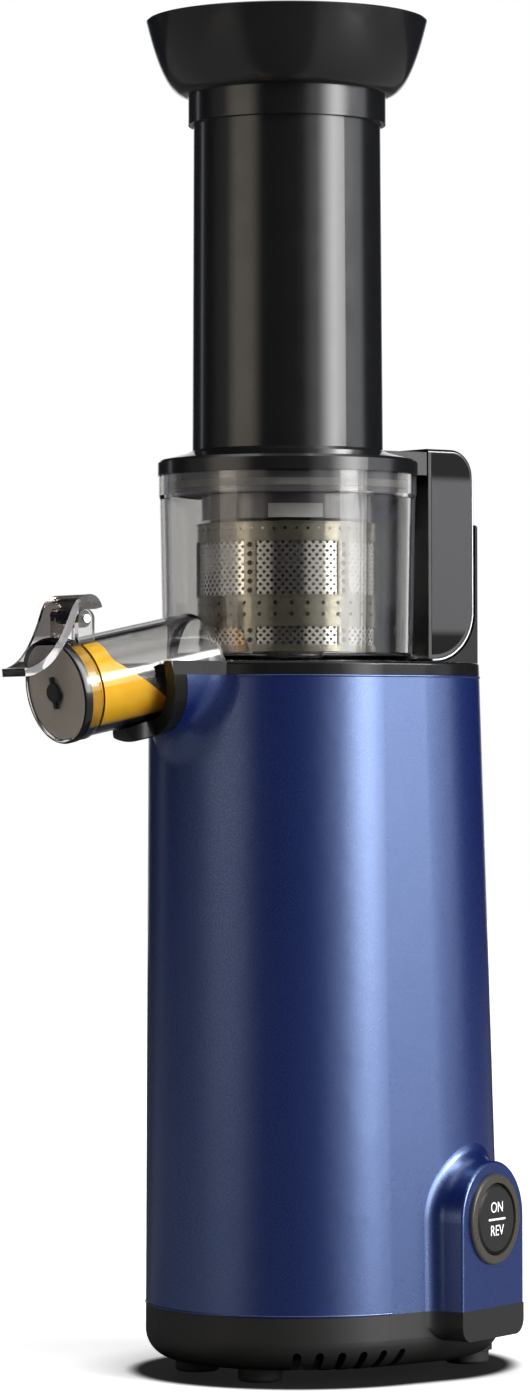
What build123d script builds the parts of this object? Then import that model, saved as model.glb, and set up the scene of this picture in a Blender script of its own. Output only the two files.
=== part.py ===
"""Cold press juicer on a slim motor base, built from separate pieces.

Millimetres, +Z up. The origin is on the table under the drive axis: the spout points to -Y,
the handle is on +Y and the switch faces +X, turned a little to the rear.
"""
import os
from math import cos, pi, radians, sin, sqrt, tan

from build123d import *

os.makedirs("parts", exist_ok=True)

# ---------------------------------------------------------------- driving dimensions
# Stack of the casing, from the table up
foot_height = 4.0
tray_height = 16.0
shell_height = 185.0
deck_thickness = 4.0

# Plan of the casing: two circles and their hull, a little smaller at the top
base_radius = 45.0
base_front_centre = 3.0
base_rear_centre = 22.0
top_radius = 43.0
top_front_centre = 2.0
top_rear_centre = 17.6
shell_wall = 2.2
tray_floor = 3.0
tray_corner = 8.5
snap_gap = 0.2            # between a lip and the wall that it plugs into
running_gap = 0.3         # between pieces that move past each other
cut_margin = 1.0          # of a cut, past the face that it opens
screw_clearance = 0.15    # of a hole round a screw

# Switch housing on the casing
switch_turn = 19.0        # degrees from +X towards +Y
switch_height = 45.8
switch_face_width = 34.0
switch_face_reach = 51.4  # from the rear centre of the plan to the face
housing_depth = 24.0      # of the switch housing, into the casing
switch_low_edge = 11.0
switch_low_round = 4.5
flare_share = 25 / 32     # of how far the switch face stands off the foot's radius
bezel_radius = 13.35
bezel_width = 2.7
rocker_thickness = 3.6

# Juice spout: a tube on an axis that leans down towards the front
spout_tilt = 11.0
spout_axis_rise = 7.0     # above the deck, where the axis crosses the drive axis
spout_radius = 14.25
spout_wall = 2.0
spout_inner_end = 31.5
spout_length = 82.6
cradle_gap = 0.5
cradle_wall = 2.2
fairing_reach = 52.0
cradle_lip = 4.4          # of the cradle, beyond the fairing
fairing_wall = 2.0
fairing_flare = 9.0

# Juice cap on the spout
cap_radius = 14.8
cap_wall = 0.9
cap_face = 1.3
cap_skirt = 6.0
cap_seal_thickness = 1.2
hinge_place = 74.7        # along the spout's axis
hinge_lift = 19.6         # above the spout's axis
hinge_pin_radius = 1.2
lever_half_width = 8.0
lever_thickness = 2.3
lever_tip_half_width = 5.5
lever_reach = 20.9        # in front of the hinge
lever_drop = 15.6         # of its tip, below the hinge
cap_stem_radius = 1.6
cap_button_radius = 2.7

# Bowl on the deck
bowl_radius = 38.0
bowl_foot_radius = 37.2
bowl_band_radius = 38.3
bowl_wall = 2.2
bowl_floor = 2.5
bowl_lift_off = 0.3       # floor above the deck
bowl_height = 55.2
bowl_band_height = 6.0
hub_radius = 9.5
hub_height = 3.2
foot_ring_radius = 34.0
foot_ring_width = 3.0
foot_ring_depth = 2.0
chute_angle = 150.0       # of the pulp chute, from +X
chute_radius = 9.0
chute_wall = 1.8
chute_reach = 52.0
chute_centre_above_floor = 8.0

# Handle behind the bowl
handle_width = 26.0
handle_front = 43.0
handle_rear = 60.3
handle_rise = 4.5         # above the lid's rim
handle_top_round = 8.0
handle_foot_round = 15.0
lug_width = 10.0
lug_height = 8.0
handle_grip = 8.0         # of the screws, under their heads
riser_height = 42.0       # above the deck
riser_rear = 61.5
riser_gap = 0.4

# Strainer and auger
strainer_radius = 27.0
strainer_height = 38.0
strainer_floor = 2.0
mesh_thickness = 0.5
rib_count = 6
rib_start = -1.0          # degrees
rib_width = 2.2
band_holes = 30
band_hole_radius = 0.55
auger_flight_radius = 25.3
auger_core_foot = 15.0
auger_core_top = 7.0
auger_neck = 6.0          # above the strainer
auger_pitch = 24.0
flight_thickness = 3.2

# Lid, feed tube and hopper
lid_radius = 38.6
lid_rim_height = 4.5
lid_skirt_height = 6.0
lid_lug_height = 3.4
lid_lug_start = 26.0
tube_foot_radius = 28.3
tube_top_radius = 27.7
tube_wall = 2.3
tube_length = 105.0       # above the lid's rim
seal_width = 2.4
tube_drop = 13.5          # of the inner tube, below the rim
collar_radius = 29.3
collar_overlap = 5.4      # on the tube
collar_rise = 3.4         # above the tube
hopper_radius = 41.7
hopper_height = 22.1      # above its collar
hopper_wall = 2.2
hopper_lip = 3.0

# Gears: one planetary stage
gear_module = 1.4
sun_teeth = 12
planet_teeth = 15
ring_teeth = 42
planet_count = 3
gear_width = 17.0
tooth_fill = 0.86         # of half a pitch, which leaves the backlash
flank_angle = 20.0
gearbox_wall = 3.3
gearbox_drop = 51.0       # of its base, below the shell's top
gearbox_base_thickness = 6.0
gearbox_height = 30.0
gearbox_lid = 4.0
carrier_thickness = 4.0
planet_pin_radius = 2.5
shaft_running_gap = 0.05
output_radius = 6.0
drive_hex = 10.0          # across flats
drive_hex_gap = 0.15
drive_rise = 16.7         # of the output shaft, into the bowl
bush_wall = 3.0

# Motor
motor_radius = 22.0
motor_length = 62.0
motor_wall = 1.6
motor_shaft_radius = 2.5
magnet_thickness = 3.0
air_gap = 0.8
end_bell_height = 6.0
fan_radius = 18.0
fan_height = 6.0
fan_disc = 1.2
fan_blades = 9

# Screws
screw_radius = 1.5
screw_head_radius = 2.9
screw_head_height = 2.0
boss_radius = 4.0
pillar_place = 19.0       # of the gearbox pillars, each way from the drive axis

upright = (Align.CENTER, Align.CENTER, Align.MIN)

# ---------------------------------------------------------------- places worked out from them
tray_bottom = foot_height
shell_bottom = tray_bottom + tray_height
shell_top = shell_bottom + shell_height
deck_top = shell_top + deck_thickness
spout_axis_height = deck_top + spout_axis_rise
cradle_reach = fairing_reach + cradle_lip
riser_top = deck_top + riser_height
bowl_bottom = deck_top + bowl_lift_off
bowl_inside = bowl_bottom + bowl_floor
bowl_top = bowl_bottom + bowl_height
lid_top = bowl_top + lid_rim_height
handle_top = lid_top + handle_rise
tube_top = lid_top + tube_length
collar_bottom = tube_top - collar_overlap
collar_top = tube_top + collar_rise
hopper_top = collar_top + hopper_height
drive_top = bowl_bottom + drive_rise
gearbox_base_bottom = shell_top - gearbox_drop
gearbox_bottom = gearbox_base_bottom + gearbox_base_thickness
gearbox_top = gearbox_bottom + gearbox_height
motor_top = gearbox_base_bottom
motor_bottom = motor_top - motor_length
strainer_bottom = bowl_inside + 0.2
strainer_top = strainer_bottom + strainer_height
auger_top = strainer_top + auger_neck
auger_bottom = bowl_inside + hub_height + running_gap
lug_low = bowl_bottom + 6
lug_high = bowl_top - bowl_band_height - lug_height - 1


def body_plan(height):
    """Radius, front centre and rear centre of the casing's plan at a height."""
    share = (height - shell_bottom) / shell_height
    radius = base_radius + (top_radius - base_radius) * share
    front = base_front_centre + (top_front_centre - base_front_centre) * share
    rear = base_rear_centre + (top_rear_centre - base_rear_centre) * share
    return radius, front, rear


def plan_outline(height, inset=0.0):
    """Slot outline of the casing at a height, inset from its skin."""
    radius, front, rear = body_plan(height)
    with BuildSketch(Plane.XY.offset(height)) as outline:
        with Locations((0, (front + rear) / 2)):
            SlotCenterToCenter(rear - front, 2 * (radius - inset), rotation=90)
    return outline.sketch


def body_taper(low, high, inset=0.0, mode=Mode.ADD):
    """The casing's tapered form between two heights."""
    sections = [plan_outline(low, inset), plan_outline(high, inset)]
    loft(sections=sections, ruled=True, mode=mode)


def column(radius, low, high, x=0.0, y=0.0, mode=Mode.ADD):
    """A round upright column between two heights."""
    with Locations((x, y, low)):
        Cylinder(radius, high - low, align=upright, mode=mode)


def block(size_x, size_y, low, high, x=0.0, y=0.0, mode=Mode.ADD):
    """An upright block between two heights."""
    with Locations((x, y, low)):
        Box(size_x, size_y, high - low, align=upright, mode=mode)


def polygon_face(points, plane=Plane.XZ):
    """A flat face with straight edges through the points, on a plane."""
    with BuildSketch(plane) as face:
        with BuildLine():
            Polyline(*points, close=True)
        make_face()
    return face.sketch


def turned(points, mode=Mode.ADD):
    """A piece turned round the drive axis from an outline of radius and height."""
    revolve(polygon_face(points), axis=Axis.Z, mode=mode)


def tube_along(plane, radius, start, end, mode=Mode.ADD):
    """A round bar on a plane's normal between two distances."""
    with Locations(plane.offset(start)):
        Cylinder(radius, end - start, align=upright, mode=mode)


def save(piece, name):
    """Labels a finished piece and writes its file."""
    piece.part.label = name
    export_step(piece.part, f"parts/{name}.step")


# The spout's own frame: z along the spout, y up from it
tilt = radians(spout_tilt)
spout_frame = Plane(
    origin=(0, 0, spout_axis_height), x_dir=(1, 0, 0), z_dir=(0, -cos(tilt), -sin(tilt))
)

# The switch's frame: z out of the face, y up
switch_rear_centre = body_plan(switch_height)[2]
switch_normal = (cos(radians(switch_turn)), sin(radians(switch_turn)), 0)
switch_frame = Plane(
    origin=(0, switch_rear_centre, switch_height),
    x_dir=(-switch_normal[1], switch_normal[0], 0),
    z_dir=switch_normal,
)
switch_axis = Axis(switch_frame.origin, switch_normal)
switch_arch = switch_face_width / 2
switch_flare = round(flare_share * (switch_face_reach - base_radius), 3)
bezel_bore = bezel_radius - bezel_width
barrel_radius = bezel_bore + 1.0
rocker_radius = bezel_bore - running_gap


def switch_outline(plane, inset=0.0, low=0.0):
    """Arched outline of the switch housing, down to a height."""
    drop = switch_height - low
    with BuildSketch(plane) as arch:
        Circle(switch_arch - inset)
        with Locations((0, -drop / 2)):
            Rectangle(2 * (switch_arch - inset), drop)
    return arch.sketch


# ---------------------------------------------------------------- casing form
# Outer form of shell and tray together: taller than both, so that every blend is whole
fairing_radius = spout_radius + cradle_gap + cradle_wall + fairing_wall
with BuildPart() as casing_form:
    body_taper(-10, shell_top + 40)
    extrude(
        to_extrude=switch_outline(switch_frame.offset(switch_face_reach), low=-5),
        amount=-housing_depth,
    )

    def is_switch_joint(edge):
        """Edges where the switch housing meets the casing, apart from its ends."""
        centre = edge.center()
        out = centre.X * switch_normal[0] + (centre.Y - switch_rear_centre) * switch_normal[1]
        long_enough = edge.geom_type != GeomType.LINE or edge.length > 0.7 * switch_arch
        beside = 0 < centre.Z < switch_height + switch_arch + 2
        between = switch_face_reach - 0.85 * housing_depth < out < switch_face_reach - 4
        return beside and between and edge.length < 4 * switch_arch + 2 and long_enough

    fillet(casing_form.edges().filter_by(is_switch_joint), radius=switch_flare)
    tube_along(spout_frame, fairing_radius, 20, fairing_reach)
    fairing_joint = casing_form.edges().filter_by(
        lambda edge: edge.length > 5 * fairing_radius
        and -base_radius < edge.center().Y < -0.6 * base_radius
        and abs(edge.center().Z - (spout_axis_height - fairing_radius / 2)) < 6
    )
    fillet(fairing_joint.sort_by(Axis.Y)[-1], radius=fairing_flare)

# ---------------------------------------------------------------- painted shell
screw_angle = 55.0
screw_ring_front = base_radius - shell_wall - boss_radius + 0.6


def tray_screw_places():
    """The four screws that hold tray and shell together."""
    x = screw_ring_front * sin(radians(screw_angle))
    y = screw_ring_front * cos(radians(screw_angle))
    return [
        (side * x, centre + end * y)
        for centre, end in ((base_front_centre, -1), (base_rear_centre, 1))
        for side in (-1, 1)
    ]


shell_boss_top = shell_bottom + 10
screw_seat = tray_bottom + tray_corner   # of the base screws' heads, inside the tray
cradle_bore = spout_radius + cradle_gap + cradle_wall + 0.1
with BuildPart() as body_shell:
    add(casing_form.part)
    split(bisect_by=Plane.XY.offset(shell_top), keep=Keep.BOTTOM)
    split(bisect_by=Plane.XY.offset(shell_bottom), keep=Keep.TOP)
    # The face's front edge is eased
    rim = body_shell.faces().filter_by(
        lambda face: face.normal_at().dot(Vector(*switch_normal)) > 0.999
    ).sort_by(Axis.X)[-1]
    fillet(rim.edges().filter_by(lambda edge: edge.center().Z > shell_bottom + 0.5), radius=0.8)
    body_taper(shell_bottom, shell_top, inset=shell_wall, mode=Mode.SUBTRACT)
    # Hollow of the switch housing, and the bore of the switch
    hollow = switch_outline(
        switch_frame.offset(switch_face_reach - shell_wall), inset=shell_wall,
        low=shell_boss_top + 1,
    )
    extrude(to_extrude=hollow, amount=-20, mode=Mode.SUBTRACT)
    tube_along(
        switch_frame, barrel_radius + 0.1, switch_face_reach - 10, switch_face_reach + 5,
        mode=Mode.SUBTRACT,
    )
    # Way through for the spout's cradle
    tube_along(spout_frame, cradle_bore, 20, cradle_reach + 5, mode=Mode.SUBTRACT)
    # Screw bosses against the wall
    for x, y in tray_screw_places():
        column(boss_radius, shell_bottom, shell_boss_top, x, y)
    for x, y in tray_screw_places():
        column(screw_radius, shell_bottom, shell_boss_top - 1, x, y, mode=Mode.SUBTRACT)
save(body_shell, "body_shell")

# ---------------------------------------------------------------- base tray
foot_radius = 6.5
foot_places = [(-15.5, -22.5), (15.5, -22.5), (-18.5, 52.5), (18.5, 52.5)]
foot_peg_radius = 2.5
vent_count = 6
vent_start = 52.0
vent_step = 8.6
cord_height = tray_bottom + 9
cord_bore = 5.0
cord_radius = 3.0
tray_inside = tray_bottom + tray_floor
holder_x = 21.0
holder_y = 47.0
board_thickness = 1.6
board_bottom = tray_inside + 2
board_top = board_bottom + 56
tongue_height = 4.0
rear_wall = base_rear_centre + base_radius

with BuildPart() as base_tray:
    body_taper(tray_bottom, shell_bottom)
    fillet(base_tray.edges().group_by(Axis.Z)[0], radius=tray_corner)
    # Lower end of the switch housing
    with BuildPart(mode=Mode.PRIVATE) as housing_end:
        add(casing_form.part)
        split(bisect_by=Plane.XY.offset(shell_bottom), keep=Keep.BOTTOM)
        split(bisect_by=Plane.XY.offset(switch_low_edge), keep=Keep.TOP)
        low_sides = housing_end.edges().group_by(Axis.Z)[0].filter_by(
            lambda edge: edge.geom_type == GeomType.LINE
            and abs(edge.tangent_at(0).dot(Vector(*switch_normal))) > 0.999
        )
        fillet(low_sides, radius=switch_low_round)
    add(housing_end.part)
    for x, y in foot_places:
        column(foot_radius + 1, tray_bottom, tray_bottom + tray_corner, x, y)
    # Hollow, narrower near the rounded corner
    body_taper(tray_inside, tray_inside + 6, inset=7.5, mode=Mode.SUBTRACT)
    body_taper(tray_inside + 6, shell_bottom, inset=shell_wall + 0.8, mode=Mode.SUBTRACT)
    # Tongue inside the shell
    body_taper(shell_bottom - 3, shell_bottom + tongue_height, inset=shell_wall + snap_gap)
    body_taper(
        shell_bottom - 3, shell_bottom + tongue_height, inset=shell_wall + 2.0,
        mode=Mode.SUBTRACT,
    )
    # Room for the shell's screw bosses and the screws
    for x, y in tray_screw_places():
        column(boss_radius + 1.5, screw_seat, shell_bottom, x, y)
        column(boss_radius + 0.5, shell_bottom, shell_bottom + 8, x, y, mode=Mode.SUBTRACT)
        column(screw_radius + 0.2, 0, shell_bottom, x, y, mode=Mode.SUBTRACT)
        column(screw_head_radius + 0.3, 0, screw_seat, x, y, mode=Mode.SUBTRACT)
    for x, y in foot_places:
        column(foot_peg_radius, tray_bottom, tray_inside + 3, x, y, mode=Mode.SUBTRACT)
    # Slanted vent slots through the rounded corner, on both sides
    for side in (-1, 1):
        for index in range(vent_count):
            angle = radians(-90 + side * (vent_start + index * vent_step))
            slot = Plane(
                origin=(0, base_front_centre, tray_bottom + 2.4),
                x_dir=(-sin(angle), cos(angle), 0.35 * side),
                z_dir=(cos(angle), sin(angle), 0),
            )
            with BuildSketch(slot.offset(base_radius - 9)):
                SlotOverall(7.0, 2.4, rotation=62)
            extrude(amount=12, mode=Mode.SUBTRACT)
    # Cord bore at the rear
    with Locations(Plane(origin=(0, rear_wall - 8, cord_height), z_dir=(0, 1, 0))):
        Cylinder(cord_bore, 20, align=upright, mode=Mode.SUBTRACT)
    # Grooved posts that hold the control board
    for side in (-1, 1):
        block(5, 6, tray_inside, board_top - 6, side * (holder_x + 1), holder_y)
    block(2 * holder_x + 0.4, board_thickness + 0.2, board_bottom, board_top, 0, holder_y,
          mode=Mode.SUBTRACT)
save(base_tray, "base_tray")

# ---------------------------------------------------------------- feet, gland, tray screws
with BuildPart() as rubber_feet:
    for x, y in foot_places:
        column(foot_radius, 0, tray_bottom, x, y)
    fillet(rubber_feet.edges().group_by(Axis.Z)[0], radius=1.0)
    for x, y in foot_places:
        column(foot_peg_radius, tray_bottom, tray_inside + 2, x, y)
save(rubber_feet, "rubber_feet")

cord_plane = Plane(origin=(0, rear_wall, cord_height), z_dir=(0, 1, 0))
with BuildPart() as cord_gland:
    tube_along(cord_plane, cord_bore, -5.0, 1.0)
    tube_along(cord_plane, cord_bore + 1.5, 0.2, 2.6)
    tube_along(cord_plane, cord_bore - 0.6, 2.6, 7.0)
    tube_along(cord_plane, cord_radius + 0.2, -6, 8, mode=Mode.SUBTRACT)
save(cord_gland, "cord_gland")

with BuildPart() as base_screws:
    for x, y in tray_screw_places():
        column(screw_head_radius, screw_seat - screw_head_height, screw_seat, x, y)
        column(screw_radius, screw_seat, shell_boss_top - 1.5, x, y)
save(base_screws, "base_screws")

# ---------------------------------------------------------------- deck with spout cradle and handle riser
cradle_inner = spout_radius + cradle_gap
cradle_outer = cradle_inner + cradle_wall
# The cradle opens far enough inwards for the spout's inner end to rise straight out of it
spout_low_y = spout_radius * sin(tilt) - spout_inner_end * cos(tilt)
cradle_opening = (spout_axis_height - deck_top) * sin(tilt) - (spout_low_y + 0.4) * cos(tilt)
cradle_inner_end = cradle_opening - 1.5
seal_radius = 11.0
lip_outer = fairing_radius - 0.1
deck_tab_reach = cradle_reach * cos(tilt)
handle_foot = bowl_bottom + 0.6
tongue_reach = cradle_reach + 9.0
tongue_round = 3.6
tongue_half_width = 6.2
tongue_length = 7.0


def handle_side(gap=0.0, rear=handle_rear, top=handle_top):
    """Side outline of the handle's rear edge region, from its foot up to its top."""
    foot_round = handle_foot_round + gap
    with BuildSketch(Plane.YZ) as side:
        with BuildLine():
            Line((handle_front, handle_foot - gap), (rear + gap - foot_round, handle_foot - gap))
            CenterArc((rear + gap - foot_round, handle_foot - gap + foot_round), foot_round, -90, 90)
            Line((rear + gap, handle_foot - gap + foot_round), (rear + gap, top))
            Line((rear + gap, top), (handle_front, top))
            Line((handle_front, top), (handle_front, handle_foot - gap))
        make_face()
    return side.sketch


# Drip tongue in front of the cradle's lip: it ends in a rounded point
with BuildPart() as drip_tongue:
    tube_along(spout_frame, lip_outer, cradle_reach - 2, tongue_reach)
    fillet(drip_tongue.edges().filter_by(GeomType.CIRCLE).sort_by(Axis.Y)[0], radius=tongue_round)
    with BuildSketch(Plane.XY.offset(shell_top - 30)):
        with Locations((0, -deck_tab_reach)):
            Ellipse(tongue_half_width, tongue_length)
    extrude(amount=22, mode=Mode.INTERSECT)

with BuildPart() as top_deck:
    body_taper(shell_top, deck_top)
    fillet(top_deck.edges().group_by(Axis.Z)[-1], radius=1.0)
    block(2 * lip_outer, deck_tab_reach - 20, shell_top, deck_top, 0, -(deck_tab_reach + 20) / 2)
    # Cradle: half pipe under the spout with a thick lip outside the shell
    tube_along(spout_frame, cradle_outer, cradle_inner_end, cradle_reach)
    tube_along(spout_frame, lip_outer, fairing_reach + 0.15, cradle_reach)
    add(drip_tongue.part)
    # Skirt inside the shell
    body_taper(shell_top - 6, shell_top, inset=shell_wall + snap_gap)
    body_taper(shell_top - 7, shell_top, inset=shell_wall + 2.2, mode=Mode.SUBTRACT)
    # Column behind the handle, scooped to its shape
    block(handle_width + 1, riser_rear - handle_front, shell_top + 1, riser_top,
          0, (riser_rear + handle_front) / 2)
    fillet(top_deck.edges().group_by(Axis.Z)[-1].sort_by(Axis.Y)[-1], radius=1.0)
    extrude(to_extrude=handle_side(gap=riser_gap, top=riser_top + 10),
            amount=handle_width, both=True, mode=Mode.SUBTRACT)
    # Everything above the deck in front of the column, and the spout's channel
    block(4 * base_radius, 4 * base_radius, deck_top, deck_top + bowl_height, 0,
          handle_front - 1 - 2 * base_radius, mode=Mode.SUBTRACT)
    with BuildSketch(spout_frame.offset(cradle_opening)):
        Circle(cradle_inner)
        with Locations((0, 20)):
            Rectangle(2 * cradle_inner, 40)
    extrude(amount=40, mode=Mode.SUBTRACT)
    # Seat of the bowl's foot ring, bore of the seal and screw pillars
    column(foot_ring_radius + snap_gap, deck_top - foot_ring_depth, deck_top + cut_margin,
           mode=Mode.SUBTRACT)
    column(foot_ring_radius - foot_ring_width - snap_gap, deck_top - foot_ring_depth, deck_top)
    for x in (-pillar_place, pillar_place):
        for y in (-pillar_place, pillar_place):
            column(boss_radius, gearbox_top, shell_top, x, y)
            column(screw_radius, gearbox_top - cut_margin, shell_top - 3, x, y, mode=Mode.SUBTRACT)
    with BuildSketch(spout_frame.offset(cradle_opening)):
        Circle(cradle_inner)
    extrude(amount=40, mode=Mode.SUBTRACT)
    column(seal_radius, shell_top - cut_margin, deck_top + cut_margin, mode=Mode.SUBTRACT)
save(top_deck, "top_deck")

with BuildPart() as deck_screws:
    for x in (-pillar_place, pillar_place):
        for y in (-pillar_place, pillar_place):
            column(screw_head_radius, gearbox_top - gearbox_lid - screw_head_height,
                   gearbox_top - gearbox_lid, x, y)
            column(screw_radius, gearbox_top - gearbox_lid, shell_top - 4, x, y)
save(deck_screws, "deck_screws")

with BuildPart() as drive_seal:
    column(seal_radius, shell_top, deck_top - 0.5)
    column(output_radius + shaft_running_gap, shell_top - cut_margin, deck_top, mode=Mode.SUBTRACT)
save(drive_seal, "drive_seal")

# ---------------------------------------------------------------- gears
sun_radius = gear_module * sun_teeth / 2
planet_radius = gear_module * planet_teeth / 2
ring_radius = gear_module * ring_teeth / 2
planet_orbit = sun_radius + planet_radius
tooth_height = 0.92 * gear_module
tooth_depth = 1.18 * gear_module


def gear_outline(teeth, outwards=1):
    """Outline of a gear whose first tooth points along +X; outwards is -1 for a ring gear."""
    pitch_radius = gear_module * teeth / 2
    half_tooth = tooth_fill * pi * gear_module / 4
    lean = tan(radians(flank_angle))
    stations = [
        (pitch_radius - outwards * tooth_depth, half_tooth + tooth_depth * lean * 0.75),
        (pitch_radius, half_tooth),
        (pitch_radius + outwards * tooth_height, half_tooth - tooth_height * lean),
    ]
    points = []
    for tooth in range(teeth):
        middle = 2 * pi * tooth / teeth
        profile = [(radius, -half / radius) for radius, half in stations]
        profile += [(radius, half / radius) for radius, half in reversed(stations)]
        points += [
            (radius * cos(middle + turn), radius * sin(middle + turn))
            for radius, turn in profile
        ]
    return points


def gear_body(points, low, high, mode=Mode.ADD):
    """A straight gear between two heights."""
    face = polygon_face(points, Plane.XY.offset(low))
    extrude(to_extrude=face, amount=high - low, mode=mode)


gear_low = gearbox_bottom + 0.5
gear_high = gear_low + gear_width
ring_outer = ring_radius + tooth_depth + 0.3 + gearbox_wall
ear_angles = (0, 90, 180)
ear_place = ring_outer + 2.2
ear_radius = 3.6


def gearbox_ears(low, high):
    """Screw ears on the gearbox's rim."""
    for angle in ear_angles:
        x = ear_place * cos(radians(angle))
        y = ear_place * sin(radians(angle))
        column(ear_radius, low, high, x, y)


def ear_bores(radius, low, high):
    """Bores through the screw ears."""
    for angle in ear_angles:
        x = ear_place * cos(radians(angle))
        y = ear_place * sin(radians(angle))
        column(radius, low, high, x, y, mode=Mode.SUBTRACT)


bush_radius = output_radius + shaft_running_gap + bush_wall
# Hollow inside the ring gear's inward teeth
with BuildPart() as ring_hollow:
    gear_body(gear_outline(ring_teeth, outwards=-1), gearbox_bottom - 1, gear_high + 0.5)

with BuildPart() as gearbox_housing:
    column(ring_outer, gearbox_bottom, gearbox_top)
    gearbox_ears(gearbox_bottom, gearbox_bottom + 8)
    column(ring_outer - gearbox_wall, gear_high + 0.5, gearbox_top - gearbox_lid, mode=Mode.SUBTRACT)
    # Ring gear: the hollow has the shape between its inward teeth
    add(ring_hollow.part, rotation=(0, 0, 180 / ring_teeth), mode=Mode.SUBTRACT)
    column(bush_radius, gearbox_top - gearbox_lid - cut_margin, gearbox_top + cut_margin, mode=Mode.SUBTRACT)
    ear_bores(screw_radius, gearbox_bottom - cut_margin, gearbox_bottom + 7)
    for x in (-pillar_place, pillar_place):
        for y in (-pillar_place, pillar_place):
            column(screw_radius + screw_clearance, gearbox_top - 5, gearbox_top + cut_margin, x, y,
                   mode=Mode.SUBTRACT)
save(gearbox_housing, "gearbox_housing")

motor_screw_place = 12.5
with BuildPart() as gearbox_base:
    column(ring_outer, gearbox_base_bottom, gearbox_bottom)
    gearbox_ears(gearbox_base_bottom, gearbox_bottom)
    column(6.0, gearbox_base_bottom - cut_margin, gearbox_bottom + cut_margin, mode=Mode.SUBTRACT)
    ear_bores(screw_radius + screw_clearance, gearbox_base_bottom - cut_margin, gearbox_bottom + cut_margin)
    for side in (-1, 1):
        column(screw_radius + screw_clearance, gearbox_base_bottom - cut_margin, gearbox_bottom + cut_margin,
               side * motor_screw_place, mode=Mode.SUBTRACT)
        column(screw_head_radius + 0.2, gearbox_bottom - screw_head_height - 0.4,
               gearbox_bottom + cut_margin,
               side * motor_screw_place, mode=Mode.SUBTRACT)
save(gearbox_base, "gearbox_base")

with BuildPart() as gearbox_screws:
    for angle in ear_angles:
        x = ear_place * cos(radians(angle))
        y = ear_place * sin(radians(angle))
        column(screw_head_radius, gearbox_base_bottom - screw_head_height, gearbox_base_bottom, x, y)
        column(screw_radius, gearbox_base_bottom, gearbox_bottom + 6, x, y)
save(gearbox_screws, "gearbox_screws")

with BuildPart() as output_bush:
    column(bush_radius, gearbox_top - gearbox_lid - 0.3, gearbox_top + 0.6)
    column(output_radius + shaft_running_gap, gearbox_top - 6, gearbox_top + 2, mode=Mode.SUBTRACT)
save(output_bush, "output_bush")

carrier_low = gear_high + 0.3
carrier_high = carrier_low + carrier_thickness
with BuildPart() as planet_carrier:
    column(planet_orbit + planet_pin_radius + 3.5, carrier_low, carrier_high)
    column(output_radius + 3, carrier_high, gearbox_top - gearbox_lid - 0.6)
    column(output_radius, carrier_low - cut_margin, gearbox_top, mode=Mode.SUBTRACT)
    with PolarLocations(planet_orbit, planet_count):
        with Locations((0, 0, carrier_low - 1)):
            Cylinder(planet_pin_radius, 10, align=upright, mode=Mode.SUBTRACT)
save(planet_carrier, "planet_carrier")

with BuildPart() as planet_pins:
    with PolarLocations(planet_orbit, planet_count):
        with Locations((0, 0, gear_low)):
            Cylinder(planet_pin_radius, carrier_high - gear_low, align=upright)
save(planet_pins, "planet_pins")

shaft_step = deck_top + 0.5
with BuildPart() as output_shaft:
    column(output_radius, carrier_low, shaft_step)
    with BuildSketch(Plane.XY.offset(shaft_step)):
        RegularPolygon(drive_hex / 2, 6, major_radius=False)
    extrude(amount=drive_top - shaft_step)
    chamfer(output_shaft.edges().group_by(Axis.Z)[-1], length=0.8)
save(output_shaft, "output_shaft")

with BuildPart() as sun_gear:
    gear_body(gear_outline(sun_teeth), gear_low, gear_high - 0.6)
    column(motor_shaft_radius, gear_low - cut_margin, gear_high, mode=Mode.SUBTRACT)
save(sun_gear, "sun_gear")

# One planet gear, facing the ring with a tooth and the sun with a gap
with BuildPart() as planet_blank:
    gear_body(gear_outline(planet_teeth), gear_low, gear_high)
    column(planet_pin_radius + shaft_running_gap, gear_low - cut_margin, gear_high + cut_margin,
           mode=Mode.SUBTRACT)
for index in range(planet_count):
    with BuildPart() as planet_gear:
        with PolarLocations(planet_orbit, 1, start_angle=index * 360 / planet_count):
            add(planet_blank.part)
    save(planet_gear, f"planet_gear_{index + 1}")

# ---------------------------------------------------------------- motor
bell_top = motor_bottom
bell_bottom = bell_top - end_bell_height
can_inside = motor_radius - motor_wall
armature_radius = can_inside - magnet_thickness - air_gap
bearing_radius = motor_shaft_radius + 3.5
armature_low = motor_bottom + 14
armature_high = motor_top - 14
commutator_radius = 7.0

with BuildPart() as motor_can:
    column(motor_radius, motor_bottom, motor_top)
    column(can_inside, motor_bottom - cut_margin, motor_top - 2.5, mode=Mode.SUBTRACT)
    column(bearing_radius + 1.5, motor_top - 7, motor_top - 2.5)
    column(bearing_radius, motor_top - 7.5, motor_top - 1.5, mode=Mode.SUBTRACT)
    column(motor_shaft_radius + 0.6, motor_top - 3, motor_top + cut_margin, mode=Mode.SUBTRACT)
    for side in (-1, 1):
        column(screw_radius, motor_top - 3, motor_top + cut_margin, side * motor_screw_place,
               mode=Mode.SUBTRACT)
save(motor_can, "motor_can")

with BuildPart() as motor_screws:
    for side in (-1, 1):
        column(screw_head_radius, gearbox_bottom - screw_head_height - 0.4, gearbox_bottom - 0.4,
               side * motor_screw_place)
        column(screw_radius, motor_top - 2.5, gearbox_bottom - 1, side * motor_screw_place)
save(motor_screws, "motor_screws")

with BuildPart() as motor_magnets:
    column(can_inside, armature_low - 3, armature_high + 3)
    column(can_inside - magnet_thickness, armature_low - 4, armature_high + 4, mode=Mode.SUBTRACT)
    block(9, 60, armature_low - 4, armature_high + 4, mode=Mode.SUBTRACT)
save(motor_magnets, "motor_magnets")

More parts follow.
